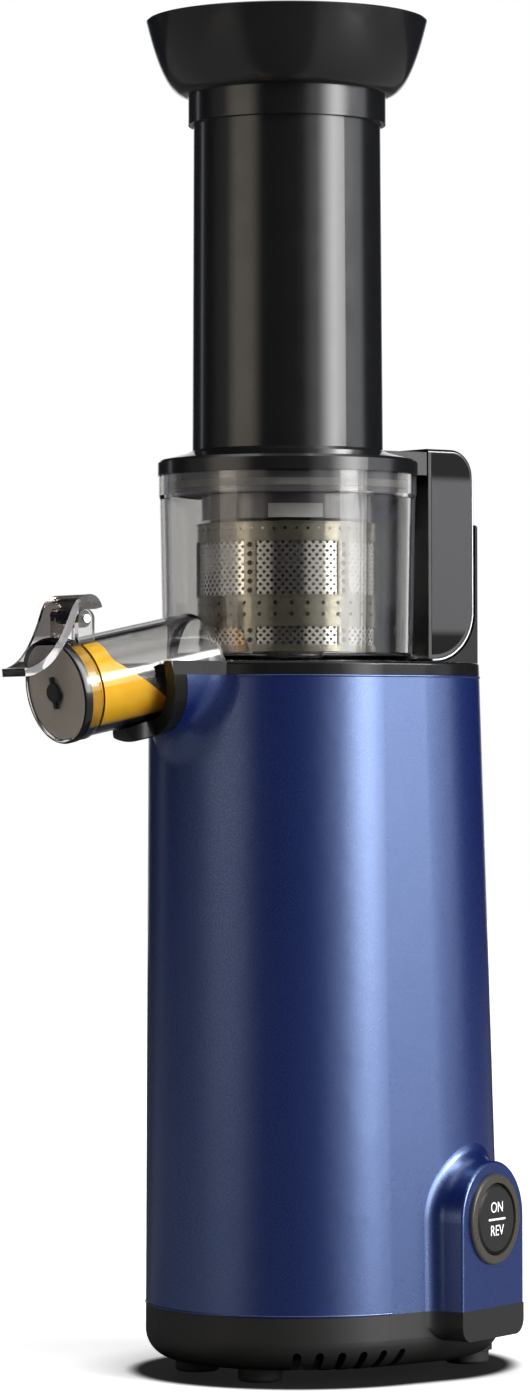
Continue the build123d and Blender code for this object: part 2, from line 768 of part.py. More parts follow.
with BuildPart() as motor_bearings:
    for low in (bell_bottom + 1, motor_top - 6.5):
        column(bearing_radius, low, low + 5)
        column(motor_shaft_radius + shaft_running_gap, low - cut_margin, low + 6, mode=Mode.SUBTRACT)
save(motor_bearings, "motor_bearings")

with BuildPart() as motor_end_bell:
    column(motor_radius, bell_bottom, bell_top)
    column(can_inside, bell_top, bell_top + 2)
    column(can_inside - 1.5, bell_bottom + 2, bell_top + 3, mode=Mode.SUBTRACT)
    column(bearing_radius + 1.5, bell_bottom, bell_top)
    column(bearing_radius, bell_bottom + 1, bell_top + 3, mode=Mode.SUBTRACT)
    column(motor_shaft_radius + 0.6, bell_bottom - cut_margin, bell_top, mode=Mode.SUBTRACT)
    # Carbon brush holders
    for side in (-1, 1):
        block(5, 6, bell_bottom + 1, bell_top + 8, 0, side * (commutator_radius + 5.3))
save(motor_end_bell, "motor_end_bell")

with BuildPart() as motor_shaft:
    column(motor_shaft_radius, bell_bottom - fan_height - 2, gear_high - 0.3)
save(motor_shaft, "motor_shaft")

slot_count = 9
with BuildPart() as armature:
    column(armature_radius, armature_low, armature_high)
    with PolarLocations(armature_radius, slot_count):
        with Locations((0, 0, armature_low - 1)):
            Box(9, 1.8, armature_high - armature_low + 2, align=upright, mode=Mode.SUBTRACT)
    column(commutator_radius, bell_top + 2, armature_low)
    column(motor_shaft_radius, bell_top, armature_high + cut_margin, mode=Mode.SUBTRACT)
save(armature, "armature")

fan_hub_radius = 5.0
blade_start = fan_hub_radius - 1
blade_end = fan_radius - 0.5
with BuildPart() as cooling_fan:
    fan_top = bell_bottom - 1.2
    column(fan_hub_radius, fan_top - fan_height, fan_top)
    column(fan_radius, fan_top - fan_disc, fan_top)
    with PolarLocations((blade_start + blade_end) / 2, fan_blades):
        with Locations((0, 0, fan_top - fan_height)):
            Box(blade_end - blade_start, 1.2, fan_height - fan_disc / 2, align=upright)
    column(motor_shaft_radius, fan_top - fan_height - cut_margin, fan_top + cut_margin, mode=Mode.SUBTRACT)
save(cooling_fan, "cooling_fan")

# ---------------------------------------------------------------- switch and control board
bezel_lip = 1.2
barrel_length = 7.0
switch_depth = 15.0
rocker_middle = switch_face_reach - 0.6
# The rocker tilts on a pin whose ends sit in the bezel's barrel
pivot_radius = 0.9
pivot_gap = 0.15
pivot_reach = bezel_bore + 0.7
pivot_plane = Plane(
    origin=switch_frame.from_local_coords(Vector(0, 0, rocker_middle)),
    z_dir=(-switch_normal[1], switch_normal[0], 0),
)
with BuildPart() as switch_bezel:
    tube_along(switch_frame, bezel_radius, switch_face_reach, switch_face_reach + bezel_lip)
    fillet(switch_bezel.edges().sort_by(switch_axis)[-1], radius=0.8)
    tube_along(switch_frame, barrel_radius, switch_face_reach - barrel_length, switch_face_reach)
    tube_along(switch_frame, bezel_bore, switch_face_reach - 20, switch_face_reach + 3,
               mode=Mode.SUBTRACT)
    tube_along(pivot_plane, pivot_radius + pivot_gap, -(pivot_reach + 0.4), pivot_reach + 0.4,
               mode=Mode.SUBTRACT)
save(switch_bezel, "switch_bezel")

rocker_clearance = 0.6    # under the middle of the rocker, which dips when it tilts
with BuildPart() as switch_rocker:
    tube_along(switch_frame, rocker_radius, rocker_middle - rocker_thickness / 2,
               rocker_middle + rocker_thickness / 2)
    chamfer(switch_rocker.edges().filter_by(GeomType.CIRCLE), length=1.0)
    tube_along(pivot_plane, pivot_radius, -pivot_reach, pivot_reach)
save(switch_rocker, "switch_rocker")

switch_well = rocker_middle - rocker_thickness / 2 - 1.8
with BuildPart() as switch_body:
    tube_along(switch_frame, bezel_bore, switch_well - switch_depth, switch_well)
    # Two blade terminals
    for side in (-1, 1):
        with Locations(switch_frame.offset(switch_well - switch_depth - 6)):
            with Locations((0, side * 5, 0)):
                Box(4.8, 0.8, 7, align=upright)
    # Pivot post under the rocker
    tube_along(switch_frame, 2.5, switch_well,
               rocker_middle - rocker_thickness / 2 - rocker_clearance)
save(switch_body, "switch_body")

with BuildPart() as control_board:
    block(2 * holder_x, board_thickness, board_bottom, board_top, 0, holder_y)
save(control_board, "control_board")

with BuildPart() as board_parts:
    board_face = holder_y - board_thickness / 2
    with Locations(Plane(origin=(-9, board_face, board_bottom + 34), z_dir=(0, -1, 0))):
        Cylinder(5.5, 12, align=upright)
    with Locations(Plane(origin=(7, board_face, board_bottom + 36), z_dir=(0, -1, 0))):
        Box(12, 16, 7, align=upright)
    with Locations(Plane(origin=(0, board_face, board_bottom + 13), z_dir=(0, -1, 0))):
        Box(20, 8, 9, align=upright)
save(board_parts, "board_parts")

# ---------------------------------------------------------------- bowl with spout
bowl_inner_radius = bowl_radius - bowl_wall
band_bottom = bowl_top - bowl_band_height
hub_top = bowl_inside + hub_height
hub_bore = drive_hex / sqrt(3) + 1.3
spout_end = spout_length
chute_height = bowl_inside + chute_centre_above_floor
chute_frame = Plane(
    origin=(0, 0, chute_height),
    x_dir=(-sin(radians(chute_angle)), cos(radians(chute_angle)), 0),
    z_dir=(cos(radians(chute_angle)), sin(radians(chute_angle)), 0),
)
hinge_point = spout_frame.from_local_coords(Vector(0, hinge_lift, hinge_place))
ear_thickness = 2.0
ear_inside = 4.2
neck_radius = spout_radius - 1.0
neck_length = cap_skirt - cap_face - cap_seal_thickness + 1.2

with BuildPart() as juice_bowl:
    turned([
        (0, bowl_bottom), (bowl_foot_radius, bowl_bottom), (bowl_radius, band_bottom - 1),
        (bowl_band_radius, band_bottom), (bowl_band_radius, bowl_top), (0, bowl_top),
    ])
    fillet(juice_bowl.edges().group_by(Axis.Z)[0], radius=2.0)
    turned([
        (foot_ring_radius - foot_ring_width, bowl_bottom + 1),
        (foot_ring_radius - foot_ring_width, deck_top - foot_ring_depth + 0.3),
        (foot_ring_radius, deck_top - foot_ring_depth + 0.3), (foot_ring_radius, bowl_bottom + 1),
    ])
    # Outer walls of spout and pulp chute
    tube_along(spout_frame, spout_radius, spout_inner_end, spout_end - neck_length)
    tube_along(spout_frame, neck_radius, spout_end - neck_length - 1, spout_end)
    tube_along(chute_frame, chute_radius, 30, chute_reach)
    # Lugs that carry the handle
    for low in (lug_low, lug_high):
        block(lug_width, handle_front - 34, low, low + lug_height, 0, (handle_front + 34) / 2)
    # Ears of the cap's hinge
    for side in (-1, 1):
        x = side * (ear_inside + ear_thickness / 2)
        with BuildSketch(Plane.YZ.offset(x - ear_thickness / 2)):
            with Locations((hinge_point.Y, hinge_point.Z)):
                Circle(hinge_pin_radius + 1.6)
            with Locations((hinge_point.Y, hinge_point.Z - 4)):
                Rectangle(2 * hinge_pin_radius + 3.2, 8)
        extrude(amount=ear_thickness)
        with Locations(Plane.YZ.offset(x - ear_thickness)):
            with Locations((hinge_point.Y, hinge_point.Z)):
                Cylinder(hinge_pin_radius, 2 * ear_thickness, align=upright, mode=Mode.SUBTRACT)
    # Hollows
    turned([
        (0, bowl_inside), (bowl_foot_radius - bowl_wall, bowl_inside),
        (bowl_inner_radius, band_bottom - 1), (bowl_inner_radius, bowl_top + 1),
        (0, bowl_top + 1),
    ], mode=Mode.SUBTRACT)
    tube_along(spout_frame, spout_radius - spout_wall, spout_inner_end + spout_wall, spout_end + cut_margin,
               mode=Mode.SUBTRACT)
    tube_along(chute_frame, chute_radius - chute_wall, 28, chute_reach + cut_margin, mode=Mode.SUBTRACT)
    column(hub_radius, bowl_inside - 0.5, hub_top)
    column(hub_bore, bowl_bottom - cut_margin, hub_top + cut_margin, mode=Mode.SUBTRACT)
save(juice_bowl, "juice_bowl")

with BuildPart() as bowl_seal:
    column(hub_bore, bowl_bottom + 0.4, bowl_inside + 1)
    column(drive_hex / sqrt(3) + shaft_running_gap + 0.03, bowl_bottom, bowl_inside + 2,
           mode=Mode.SUBTRACT)
save(bowl_seal, "bowl_seal")

with BuildPart() as pulp_plug:
    tube_along(chute_frame, chute_radius - chute_wall - 0.05, bowl_radius - 4, chute_reach)
    tube_along(chute_frame, chute_radius + 0.6, chute_reach, chute_reach + 3)
    with Locations(chute_frame.offset(chute_reach + 3)):
        Box(4, 8, 3, align=upright)
    tube_along(chute_frame, chute_radius - chute_wall - 1.6, 25, chute_reach - 1,
               mode=Mode.SUBTRACT)
save(pulp_plug, "pulp_plug")

# ---------------------------------------------------------------- handle
with BuildPart() as bowl_handle:
    extrude(to_extrude=handle_side(), amount=handle_width / 2, both=True)
    top_rear = bowl_handle.edges().filter_by(Axis.X).group_by(Axis.Z)[-1].sort_by(Axis.Y)[-1]
    fillet(top_rear, radius=handle_top_round)
    outline_edges = bowl_handle.edges().filter_by(
        lambda edge: abs(abs(edge.center().X) - handle_width / 2) < 0.01
        and edge.center().Y > handle_front + 0.5
    )
    fillet(outline_edges, radius=1.0)
    # Counterbored screw ways into the lugs
    for low in (lug_low, lug_high):
        way = Plane(origin=(0, handle_front, low + lug_height / 2), z_dir=(0, 1, 0))
        tube_along(way, screw_radius + 0.2, -1, 30, mode=Mode.SUBTRACT)
        tube_along(way, screw_head_radius + 0.3, handle_grip, 30, mode=Mode.SUBTRACT)
save(bowl_handle, "bowl_handle")

with BuildPart() as handle_screws:
    for low in (lug_low, lug_high):
        way = Plane(origin=(0, handle_front, low + lug_height / 2), z_dir=(0, 1, 0))
        tube_along(way, screw_radius, 0, handle_grip)
        tube_along(way, screw_head_radius, handle_grip, handle_grip + screw_head_height)
save(handle_screws, "handle_screws")

# ---------------------------------------------------------------- strainer
mesh_outer = strainer_radius - 0.4
band_low = strainer_bottom + 7.5
band_high = strainer_bottom + 16.5
top_band = strainer_top - 5.5

with BuildPart() as strainer_frame:
    for low, high in (
        (strainer_bottom, strainer_bottom + strainer_floor),
        (band_low, band_high),
        (top_band, strainer_top),
    ):
        column(strainer_radius, low, high)
    column(strainer_radius - 0.9, strainer_bottom + strainer_floor, strainer_top + cut_margin,
           mode=Mode.SUBTRACT)
    with PolarLocations(mesh_outer + 0.5, rib_count, start_angle=rib_start):
        with Locations((0, 0, strainer_bottom)):
            Box(1.0, rib_width, strainer_height, align=upright)
    column(hub_radius + running_gap, strainer_bottom - cut_margin, strainer_bottom + 5, mode=Mode.SUBTRACT)
    # Two rows of small holes in the middle band, one in the top band
    for height in (band_low + 0.27 * (band_high - band_low), band_low + 0.73 * (band_high - band_low),
                   top_band + 3.2):
        with Locations(Plane.XY.offset(height)):
            with PolarLocations(strainer_radius - 3, band_holes):
                Cylinder(band_hole_radius, 6, rotation=(0, 90, 0),
                         align=(Align.CENTER, Align.CENTER, Align.MIN), mode=Mode.SUBTRACT)
save(strainer_frame, "strainer_frame")

with BuildPart() as strainer_mesh:
    for low, high in (
        (strainer_bottom + strainer_floor, band_low), (band_high, top_band),
    ):
        column(mesh_outer, low, high)
        column(mesh_outer - mesh_thickness, low, high, mode=Mode.SUBTRACT)
save(strainer_mesh, "strainer_mesh")

# ---------------------------------------------------------------- auger
auger_disc = 2.6
auger_shoulder = strainer_bottom + 22
core_taper = 26.3         # height of the core's cone
flight_bottom = auger_bottom + flight_thickness / 2 + 0.2
flight_end = auger_top - 9
flight_turns = (flight_end - flight_bottom) / auger_pitch
flight_inside = auger_core_top - 0.6
flight_outside = auger_flight_radius + 1    # trimmed to the envelope
with BuildPart() as auger:
    with BuildLine():
        Helix(auger_pitch, flight_turns * auger_pitch, auger_core_top + 5,
              center=(0, 0, flight_bottom))
    with BuildSketch(Plane.XZ):
        with Locations(((flight_outside + flight_inside) / 2, flight_bottom)):
            Rectangle(flight_outside - flight_inside, flight_thickness)
    sweep(is_frenet=True)
    # The flight narrows to the top
    envelope = polygon_face([
        (0, auger_bottom), (auger_flight_radius, auger_bottom),
        (auger_flight_radius, auger_shoulder), (auger_core_top + 5, auger_top - 6),
        (auger_core_top + 1.5, auger_top - 1), (0, auger_top - 1),
    ])
    revolve(envelope, axis=Axis.Z, mode=Mode.INTERSECT)
    turned([
        (0, auger_bottom), (auger_flight_radius, auger_bottom),
        (auger_flight_radius, auger_bottom + auger_disc),
        (auger_core_foot, auger_bottom + auger_disc),
        (auger_core_top, auger_bottom + core_taper), (auger_core_top, auger_top), (0, auger_top),
    ])
    # Hexagonal socket for the drive
    with BuildSketch(Plane.XY.offset(auger_bottom - 1)):
        RegularPolygon(drive_hex / 2 + drive_hex_gap, 6, major_radius=False)
    extrude(amount=drive_top + 1.5 - auger_bottom, mode=Mode.SUBTRACT)
save(auger, "auger")

# ---------------------------------------------------------------- lid with feed tube
seal_low = bowl_top - 4.6
lid_skirt_radius = bowl_inner_radius - snap_gap
throat_radius = tube_foot_radius - tube_wall - 2.6
inner_tube_radius = throat_radius + tube_wall
lid_slope = 1.9
lug_top = lid_top + lid_lug_height
with BuildPart() as lid:
    turned([
        (0, bowl_top), (lid_radius, bowl_top), (lid_radius, lid_top - 0.8),
        (lid_radius - 0.8, lid_top), (tube_foot_radius + 2, lid_top + lid_slope),
        (tube_foot_radius, lid_top + lid_slope + 1), (tube_top_radius, tube_top), (0, tube_top),
    ])
    fillet(lid.edges().group_by(Axis.Z)[-1], radius=0.6)
    # Lug that runs back to the handle
    block(handle_width, handle_front - running_gap - 0.3 - lid_lug_start, bowl_top + 1, lug_top,
          0, (handle_front - running_gap - 0.3 + lid_lug_start) / 2)
    # Skirt in the bowl and the inner tube over the strainer
    turned([
        (lid_skirt_radius - 2, bowl_top - lid_skirt_height), (lid_skirt_radius, bowl_top - lid_skirt_height),
        (lid_skirt_radius, bowl_top + 1), (lid_skirt_radius - 2, bowl_top + 1),
    ])
    column(inner_tube_radius, bowl_top - tube_drop, bowl_top + 1)
    # Seal groove
    turned([
        (lid_skirt_radius - 1, seal_low), (lid_skirt_radius + 1, seal_low),
        (lid_skirt_radius + 1, seal_low + seal_width), (lid_skirt_radius - 1, seal_low + seal_width),
    ], mode=Mode.SUBTRACT)
    # Feed way
    turned([
        (0, bowl_top - tube_drop - 1), (throat_radius, bowl_top - tube_drop - 1),
        (throat_radius, bowl_top + 2), (tube_foot_radius - tube_wall, lid_top + 4),
        (tube_top_radius - tube_wall, tube_top + 1), (0, tube_top + 1),
    ], mode=Mode.SUBTRACT)
save(lid, "lid")

with BuildPart() as lid_seal:
    column(bowl_inner_radius - 0.05, seal_low + 0.1, seal_low + seal_width - 0.1)
    column(lid_skirt_radius - 1, seal_low, seal_low + seal_width, mode=Mode.SUBTRACT)
save(lid_seal, "lid_seal")

# ---------------------------------------------------------------- hopper
hopper_middle = ((hopper_radius + collar_radius) / 2 + 2.7, collar_top + 7.9)
tube_inside = tube_top_radius - tube_wall
with BuildPart() as feed_hopper:
    with BuildSketch(Plane.XZ) as hopper_section:
        with BuildLine():
            Polyline(
                (0, collar_bottom), (collar_radius, collar_bottom), (collar_radius, collar_top)
            )
            ThreePointArc(
                (collar_radius, collar_top), hopper_middle, (hopper_radius, hopper_top - hopper_lip)
            )
            Polyline(
                (hopper_radius, hopper_top - hopper_lip), (hopper_radius, hopper_top),
                (0, hopper_top), (0, collar_bottom),
            )
        make_face()
    revolve(axis=Axis.Z)
    with BuildSketch(Plane.XZ):
        with BuildLine():
            Polyline((0, collar_bottom - 1), (tube_inside, collar_bottom - 1), (tube_inside, collar_top))
            ThreePointArc(
                (tube_inside, collar_top),
                (hopper_middle[0] - hopper_wall, hopper_middle[1] + hopper_wall * 0.9),
                (hopper_radius - hopper_wall, hopper_top),
            )
            Polyline(
                (hopper_radius - hopper_wall, hopper_top), (hopper_radius - hopper_wall, hopper_top + 1),
                (0, hopper_top + 1), (0, collar_bottom - 1),
            )
        make_face()
    revolve(axis=Axis.Z, mode=Mode.SUBTRACT)
    # Socket over the tube
    column(tube_top_radius + snap_gap, collar_bottom - cut_margin, tube_top + 0.1, mode=Mode.SUBTRACT)
save(feed_hopper, "feed_hopper")

# ---------------------------------------------------------------- juice cap
seal_start = spout_end + 0.1
face_start = seal_start + cap_seal_thickness
cap_front = face_start + cap_face
knuckle_radius = hinge_pin_radius + 1.4
knuckle_width = 2 * ear_inside - 0.6
hinge_y = hinge_point.Y
hinge_z = hinge_point.Z
# Middle line of the lever, from the hook over the hinge to the tip, seen from the side
lever_line = [
    (hinge_y + 3.2, hinge_z + 3.0), (hinge_y + 1.2, hinge_z + 5.4),
    (hinge_y - 1.9, hinge_z + 5.8), (hinge_y - 5.0, hinge_z + 2.2),
    (hinge_y - 7.6, hinge_z - 3.6), (hinge_y - 11.2, hinge_z - 9.6),
    (hinge_y - 15.4, hinge_z - lever_drop + 2), (hinge_y - lever_reach, hinge_z - lever_drop),
]
lever_stations = 9
middle = Spline(*lever_line)


def lever_edge(side):
    """Points beside the lever's middle line, half its thickness away."""
    points = []
    for station in range(lever_stations):
        place = station / (lever_stations - 1)
        along = middle % place
        across = Vector(-along.Y, along.X) * side * lever_thickness / 2
        points.append(middle @ place + across)
    return points


upper_points = lever_edge(1)
lower_points = lever_edge(-1)
with BuildPart() as lever_plate:
    with BuildSketch(Plane.YZ):
        with BuildLine():
            upper = Spline(*upper_points)
            lower = Spline(*lower_points)
            Line(upper @ 0, lower @ 0)
            Line(upper @ 1, lower @ 1)
        make_face()
    extrude(amount=lever_half_width, both=True)
    # Narrower to the tip
    with BuildSketch(Plane.XY.offset(hinge_z - 25)):
        with BuildLine():
            Polyline(
                (-lever_half_width, hinge_y + 10), (lever_half_width, hinge_y + 10),
                (lever_half_width, hinge_y - 4), (lever_tip_half_width, hinge_y - lever_reach - 3),
                (-lever_tip_half_width, hinge_y - lever_reach - 3),
                (-lever_half_width, hinge_y - 4), close=True,
            )
        make_face()
    extrude(amount=50, mode=Mode.INTERSECT)

with BuildPart() as juice_cap:
    tube_along(spout_frame, cap_radius, cap_front - cap_skirt, cap_front)
    fillet(juice_cap.edges().filter_by(GeomType.CIRCLE).sort_by(Axis.Y)[0], radius=0.8)
    tube_along(spout_frame, cap_radius - cap_wall, cap_front - cap_skirt - cut_margin, face_start,
               mode=Mode.SUBTRACT)
    tube_along(spout_frame, cap_stem_radius, face_start - cut_margin, cap_front + cut_margin,
               mode=Mode.SUBTRACT)
    add(lever_plate.part)
    # Knuckle on the hinge pin, with a web to the lever
    with BuildSketch(Plane.YZ):
        with Locations((hinge_y, hinge_z)):
            Circle(knuckle_radius)
        with Locations((hinge_y - 3.0, hinge_z + 1.0)):
            Rectangle(6.0, 2.4, rotation=-20)
    extrude(amount=knuckle_width / 2, both=True)
    with Locations(Plane.YZ.offset(-knuckle_width)):
        with Locations((hinge_y, hinge_z)):
            Cylinder(hinge_pin_radius + shaft_running_gap, 2 * knuckle_width, align=upright,
                     mode=Mode.SUBTRACT)
save(juice_cap, "juice_cap")

with BuildPart() as cap_seal:
    tube_along(spout_frame, cap_radius - cap_wall - 0.2, seal_start, face_start)
    tube_along(spout_frame, cap_stem_radius, face_start, cap_front)
    tube_along(spout_frame, cap_button_radius, cap_front, cap_front + 1.4)
    with Locations(spout_frame.offset(cap_front)):
        Box(1.4, 3 * cap_button_radius, 0.9, align=upright)
save(cap_seal, "cap_seal")

with BuildPart() as cap_hinge_pin:
    pin_half = ear_inside + ear_thickness + 0.4
    with Locations(Plane.YZ.offset(-pin_half)):
        with Locations((hinge_y, hinge_z)):
            Cylinder(hinge_pin_radius, 2 * pin_half, align=upright)
save(cap_hinge_pin, "cap_hinge_pin")
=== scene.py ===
import math

import bpy
import numpy as np
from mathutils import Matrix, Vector


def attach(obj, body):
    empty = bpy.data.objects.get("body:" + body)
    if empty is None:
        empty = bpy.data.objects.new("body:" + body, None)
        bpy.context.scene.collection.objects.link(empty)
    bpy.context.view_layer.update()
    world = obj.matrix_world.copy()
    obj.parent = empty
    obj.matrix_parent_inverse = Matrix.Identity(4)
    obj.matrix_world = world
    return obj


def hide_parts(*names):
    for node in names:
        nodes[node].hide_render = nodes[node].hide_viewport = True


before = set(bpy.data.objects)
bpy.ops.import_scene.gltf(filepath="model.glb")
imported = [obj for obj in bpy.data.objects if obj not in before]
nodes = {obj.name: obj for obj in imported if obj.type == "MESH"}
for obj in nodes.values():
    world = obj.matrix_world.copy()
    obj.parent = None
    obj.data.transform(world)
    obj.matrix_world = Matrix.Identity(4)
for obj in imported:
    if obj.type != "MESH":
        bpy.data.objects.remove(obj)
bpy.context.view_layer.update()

mm = 0.001

# Places that several pieces share, in millimetres: the same values as the solids have
shared = {
    "bowlTop": 264.5,
    "strainerRadius": 27.0,
    "spoutTilt": math.radians(11.0),   # the spout leans down towards -Y
    "spoutAxisHeight": 216.0,          # where its axis crosses the drive axis
    "switchTurn": math.radians(19.0),  # of the switch face, from +X towards +Y
    "switchHeight": 45.8,
    # The casing's rear centre at its foot, and how far it draws in over the casing's height
    "footHeight": 20.0, "footCentre": 22.0, "drawIn": 4.4, "casingHeight": 185.0,
}
switchCentreY = shared["footCentre"] - shared["drawIn"] * (
    shared["switchHeight"] - shared["footHeight"]) / shared["casingHeight"]
noiseSpan = (0.3, 0.7)                 # most of a noise texture's values
boxFaces = [[3, 2, 1, 0], [4, 5, 6, 7], [0, 1, 5, 4], [1, 2, 6, 5], [2, 3, 7, 6], [3, 0, 4, 7]]


# ---- small tools

def toLinear(hexCode):
    # sRGB hex to linear colour
    value = int(hexCode.lstrip("#"), 16)
    channels = [(value >> shift & 255) / 255 for shift in (16, 8, 0)]
    linear = [c / 12.92 if c <= 0.04045 else ((c + 0.055) / 1.055) ** 2.4 for c in channels]
    return (*linear, 1.0)


def addNode(tree, kind, settings=None, inputs=None):
    # One node with its properties; each input is a value or the socket that feeds it
    node = tree.nodes.new(kind)
    for key, value in (settings or {}).items():
        setattr(node, key, value)
    for key, value in (inputs or {}).items():
        if isinstance(value, bpy.types.NodeSocket):
            tree.links.new(value, node.inputs[key])
        else:
            node.inputs[key].default_value = value
    return node


def calculate(tree, operation, *sources):
    inputs = dict(enumerate(sources))
    return addNode(tree, "ShaderNodeMath", {"operation": operation}, inputs).outputs["Value"]


def vectorMath(tree, operation, inputs, result="Vector"):
    return addNode(tree, "ShaderNodeVectorMath", {"operation": operation}, inputs).outputs[result]


def dot(tree, vector, axis):
    return vectorMath(tree, "DOT_PRODUCT", {0: vector, 1: tuple(axis)}, "Value")


def ramp(tree, value, start, end, low=0.0, high=1.0, kind="LINEAR"):
    # Carries one range of values to another
    return addNode(tree, "ShaderNodeMapRange", {"interpolation_type": kind},
                   {"Value": value, "From Min": start, "From Max": end, "To Min": low,
                    "To Max": high}).outputs["Result"]


def smoothStep(tree, value, start, end, high=1.0):
    return ramp(tree, value, start, end, high=high, kind="SMOOTHSTEP")


def blend(tree, share, first, second):
    # Colour mix; each end is a colour or the socket that gives it
    return addNode(tree, "ShaderNodeMix", {"data_type": "RGBA"},
                   {"Factor": share, "A": first, "B": second}).outputs["Result"]


def newMaterial(name):
    # An empty node tree with its output
    material = bpy.data.materials.new(name)
    material.use_nodes = True
    tree = material.node_tree
    tree.nodes.clear()
    return material, tree, addNode(tree, "ShaderNodeOutputMaterial")


def principled(tree, inputs):
    return addNode(tree, "ShaderNodeBsdfPrincipled", None, inputs)


def finished(material, tree, out, shader):
    # The shader closes the material's tree
    tree.links.new(shader.outputs[0], out.inputs["Surface"])
    return material


def objectPlace(tree):
    return addNode(tree, "ShaderNodeTexCoord").outputs["Object"]


def objectHeight(tree):
    return addNode(tree, "ShaderNodeSeparateXYZ", None, {"Vector": objectPlace(tree)}).outputs["Z"]


def objectNoise(tree, grain, detail=3.0, stretch=(1.0, 1.0, 1.0)):
    # Noise on Object coordinates whose grain is given in millimetres
    mapping = addNode(tree, "ShaderNodeMapping", None,
                      {"Vector": objectPlace(tree), "Scale": stretch})
    return addNode(tree, "ShaderNodeTexNoise", None,
                   {"Vector": mapping.outputs["Vector"], "Scale": 1 / (grain * mm),
                    "Detail": detail, "Roughness": 0.55}).outputs["Fac"]


def spread(tree, noise, low, high):
    # Carries a noise to a range
    return ramp(tree, noise, *noiseSpan, low, high)


def bumpFrom(tree, noise, strength, distance):
    # The surface's normal, raised by a noise; distance in metres
    return addNode(tree, "ShaderNodeBump", None,
                   {"Height": noise, "Strength": strength, "Distance": distance}).outputs["Normal"]


def meshPiece(name, points, faces, material, sharpAngle=35.0):
    # A mesh from arrays: points in millimetres, faces as rows of corner numbers
    mesh = bpy.data.meshes.new(name)
    points = np.asarray(points, float).reshape(-1, 3) * mm
    mesh.from_pydata(points.tolist(), [], [list(map(int, face)) for face in faces])
    mesh.validate()
    mesh.materials.append(material)
    mesh.shade_smooth()
    mesh.set_sharp_from_angle(angle=math.radians(sharpAngle))
    piece = bpy.data.objects.new(name, mesh)
    bpy.context.scene.collection.objects.link(piece)
    return piece


def gridFaces(rows, columns, closeRows=False, closeColumns=False):
    # Quads of a rows x columns grid of points; a closed direction joins its last line to the first
    r = np.arange(rows if closeRows else rows - 1)
    c = np.arange(columns if closeColumns else columns - 1)
    r, c = np.meshgrid(r, c, indexing="ij")
    nextR, nextC = (r + 1) % rows, (c + 1) % columns
    quads = np.stack([r * columns + c, r * columns + nextC, nextR * columns + nextC,
                      nextR * columns + c], axis=-1)
    return quads.reshape(-1, 4)


def turnedFaces(outline, steps, side):
    # Quads of a closed outline carried round an axis, turned over where its area has the sign
    # of side, so that they face outwards
    faces = gridFaces(len(outline), steps, closeRows=True, closeColumns=True)
    area = np.sum(outline[:, 0] * np.roll(outline[:, 1], -1)
                  - np.roll(outline[:, 0], -1) * outline[:, 1])
    return faces[:, ::-1] if area * side > 0 else faces


def turnedPiece(name, outline, material, steps=128, sharpAngle=35.0):
    # A closed outline of (radius, height) carried round the drive axis:
    # x = radius cos(turn), y = radius sin(turn), z = height
    outline = np.asarray(outline, float)
    turn = np.linspace(0, 2 * np.pi, steps, endpoint=False)
    radius, height = outline[:, :1], outline[:, 1:]
    points = np.stack([radius * np.cos(turn), radius * np.sin(turn),
                       np.broadcast_to(height, (len(outline), steps))], axis=-1)
    return meshPiece(name, points, turnedFaces(outline, steps, 1), material, sharpAngle)


def spoutPoint(x, up, along):
    # From the spout's own frame to the part's: along the spout, up from its axis
    tilt = shared["spoutTilt"]
    x, up, along = np.broadcast_arrays(x, up, along)
    y = -along * math.cos(tilt) - up * math.sin(tilt)
    z = shared["spoutAxisHeight"] - along * math.sin(tilt) + up * math.cos(tilt)
    return np.stack([x, y, z], axis=-1)


def switchPoint(side, up, out):
    # From the switch's frame to the part's: out of its face, sideways and up
    turn = shared["switchTurn"]
    side, up, out = np.broadcast_arrays(side, up, out)
    x = out * math.cos(turn) - side * math.sin(turn)
    y = switchCentreY + out * math.sin(turn) + side * math.cos(turn)
    return np.stack([x, y, shared["switchHeight"] + up], axis=-1)


def dress(node, material):
    # Gives a CAD node its material in every slot
    slots = nodes[node].data.materials
    slots.clear()
    slots.append(material)


# ---- materials

def blackGlossAbs():
    # Moulded ABS from a polished tool: near black, sharp reflections over a softer one
    material, tree, out = newMaterial("blackGlossAbs")
    wave = objectNoise(tree, grain=9.0, detail=2.0)
    shader = principled(tree, {
        "Base Color": toLinear("#0d0d0d"), "IOR": 1.54, "Coat Weight": 0.7, "Coat Roughness": 0.06,
        "Roughness": spread(tree, wave, 0.2, 0.26), "Normal": bumpFrom(tree, wave, 0.02, 0.0004),
    })
    return finished(material, tree, out, shader)


def deckAbs():
    # The same ABS with a finer tool finish that reflects less
    material, tree, out = newMaterial("deckAbs")
    wave = objectNoise(tree, grain=9.0, detail=2.0)
    shader = principled(tree, {
        "Base Color": toLinear("#101010"), "IOR": 1.5, "Specular IOR Level": 0.2,
        "Coat Weight": 0.2, "Coat Roughness": 0.05, "Roughness": spread(tree, wave, 0.22, 0.3),
    })
    return finished(material, tree, out, shader)


lidFade = 0.6                          # millimetres over which the lid's plug turns grey


def lidAbs():
    # The same ABS; the plug that enters the bowl is coloured grey below the bowl's top
    material, tree, out = newMaterial("lidAbs")
    wave = objectNoise(tree, grain=9.0, detail=2.0)
    top = shared["bowlTop"] * mm
    share = ramp(tree, objectHeight(tree), top - lidFade * mm, top)
    shader = principled(tree, {
        "Base Color": blend(tree, share, toLinear("#4b494c"), toLinear("#0d0d0d")), "IOR": 1.54,
        "Coat Weight": 0.7, "Coat Roughness": 0.06, "Roughness": spread(tree, wave, 0.2, 0.26),
    })
    return finished(material, tree, out, shader)


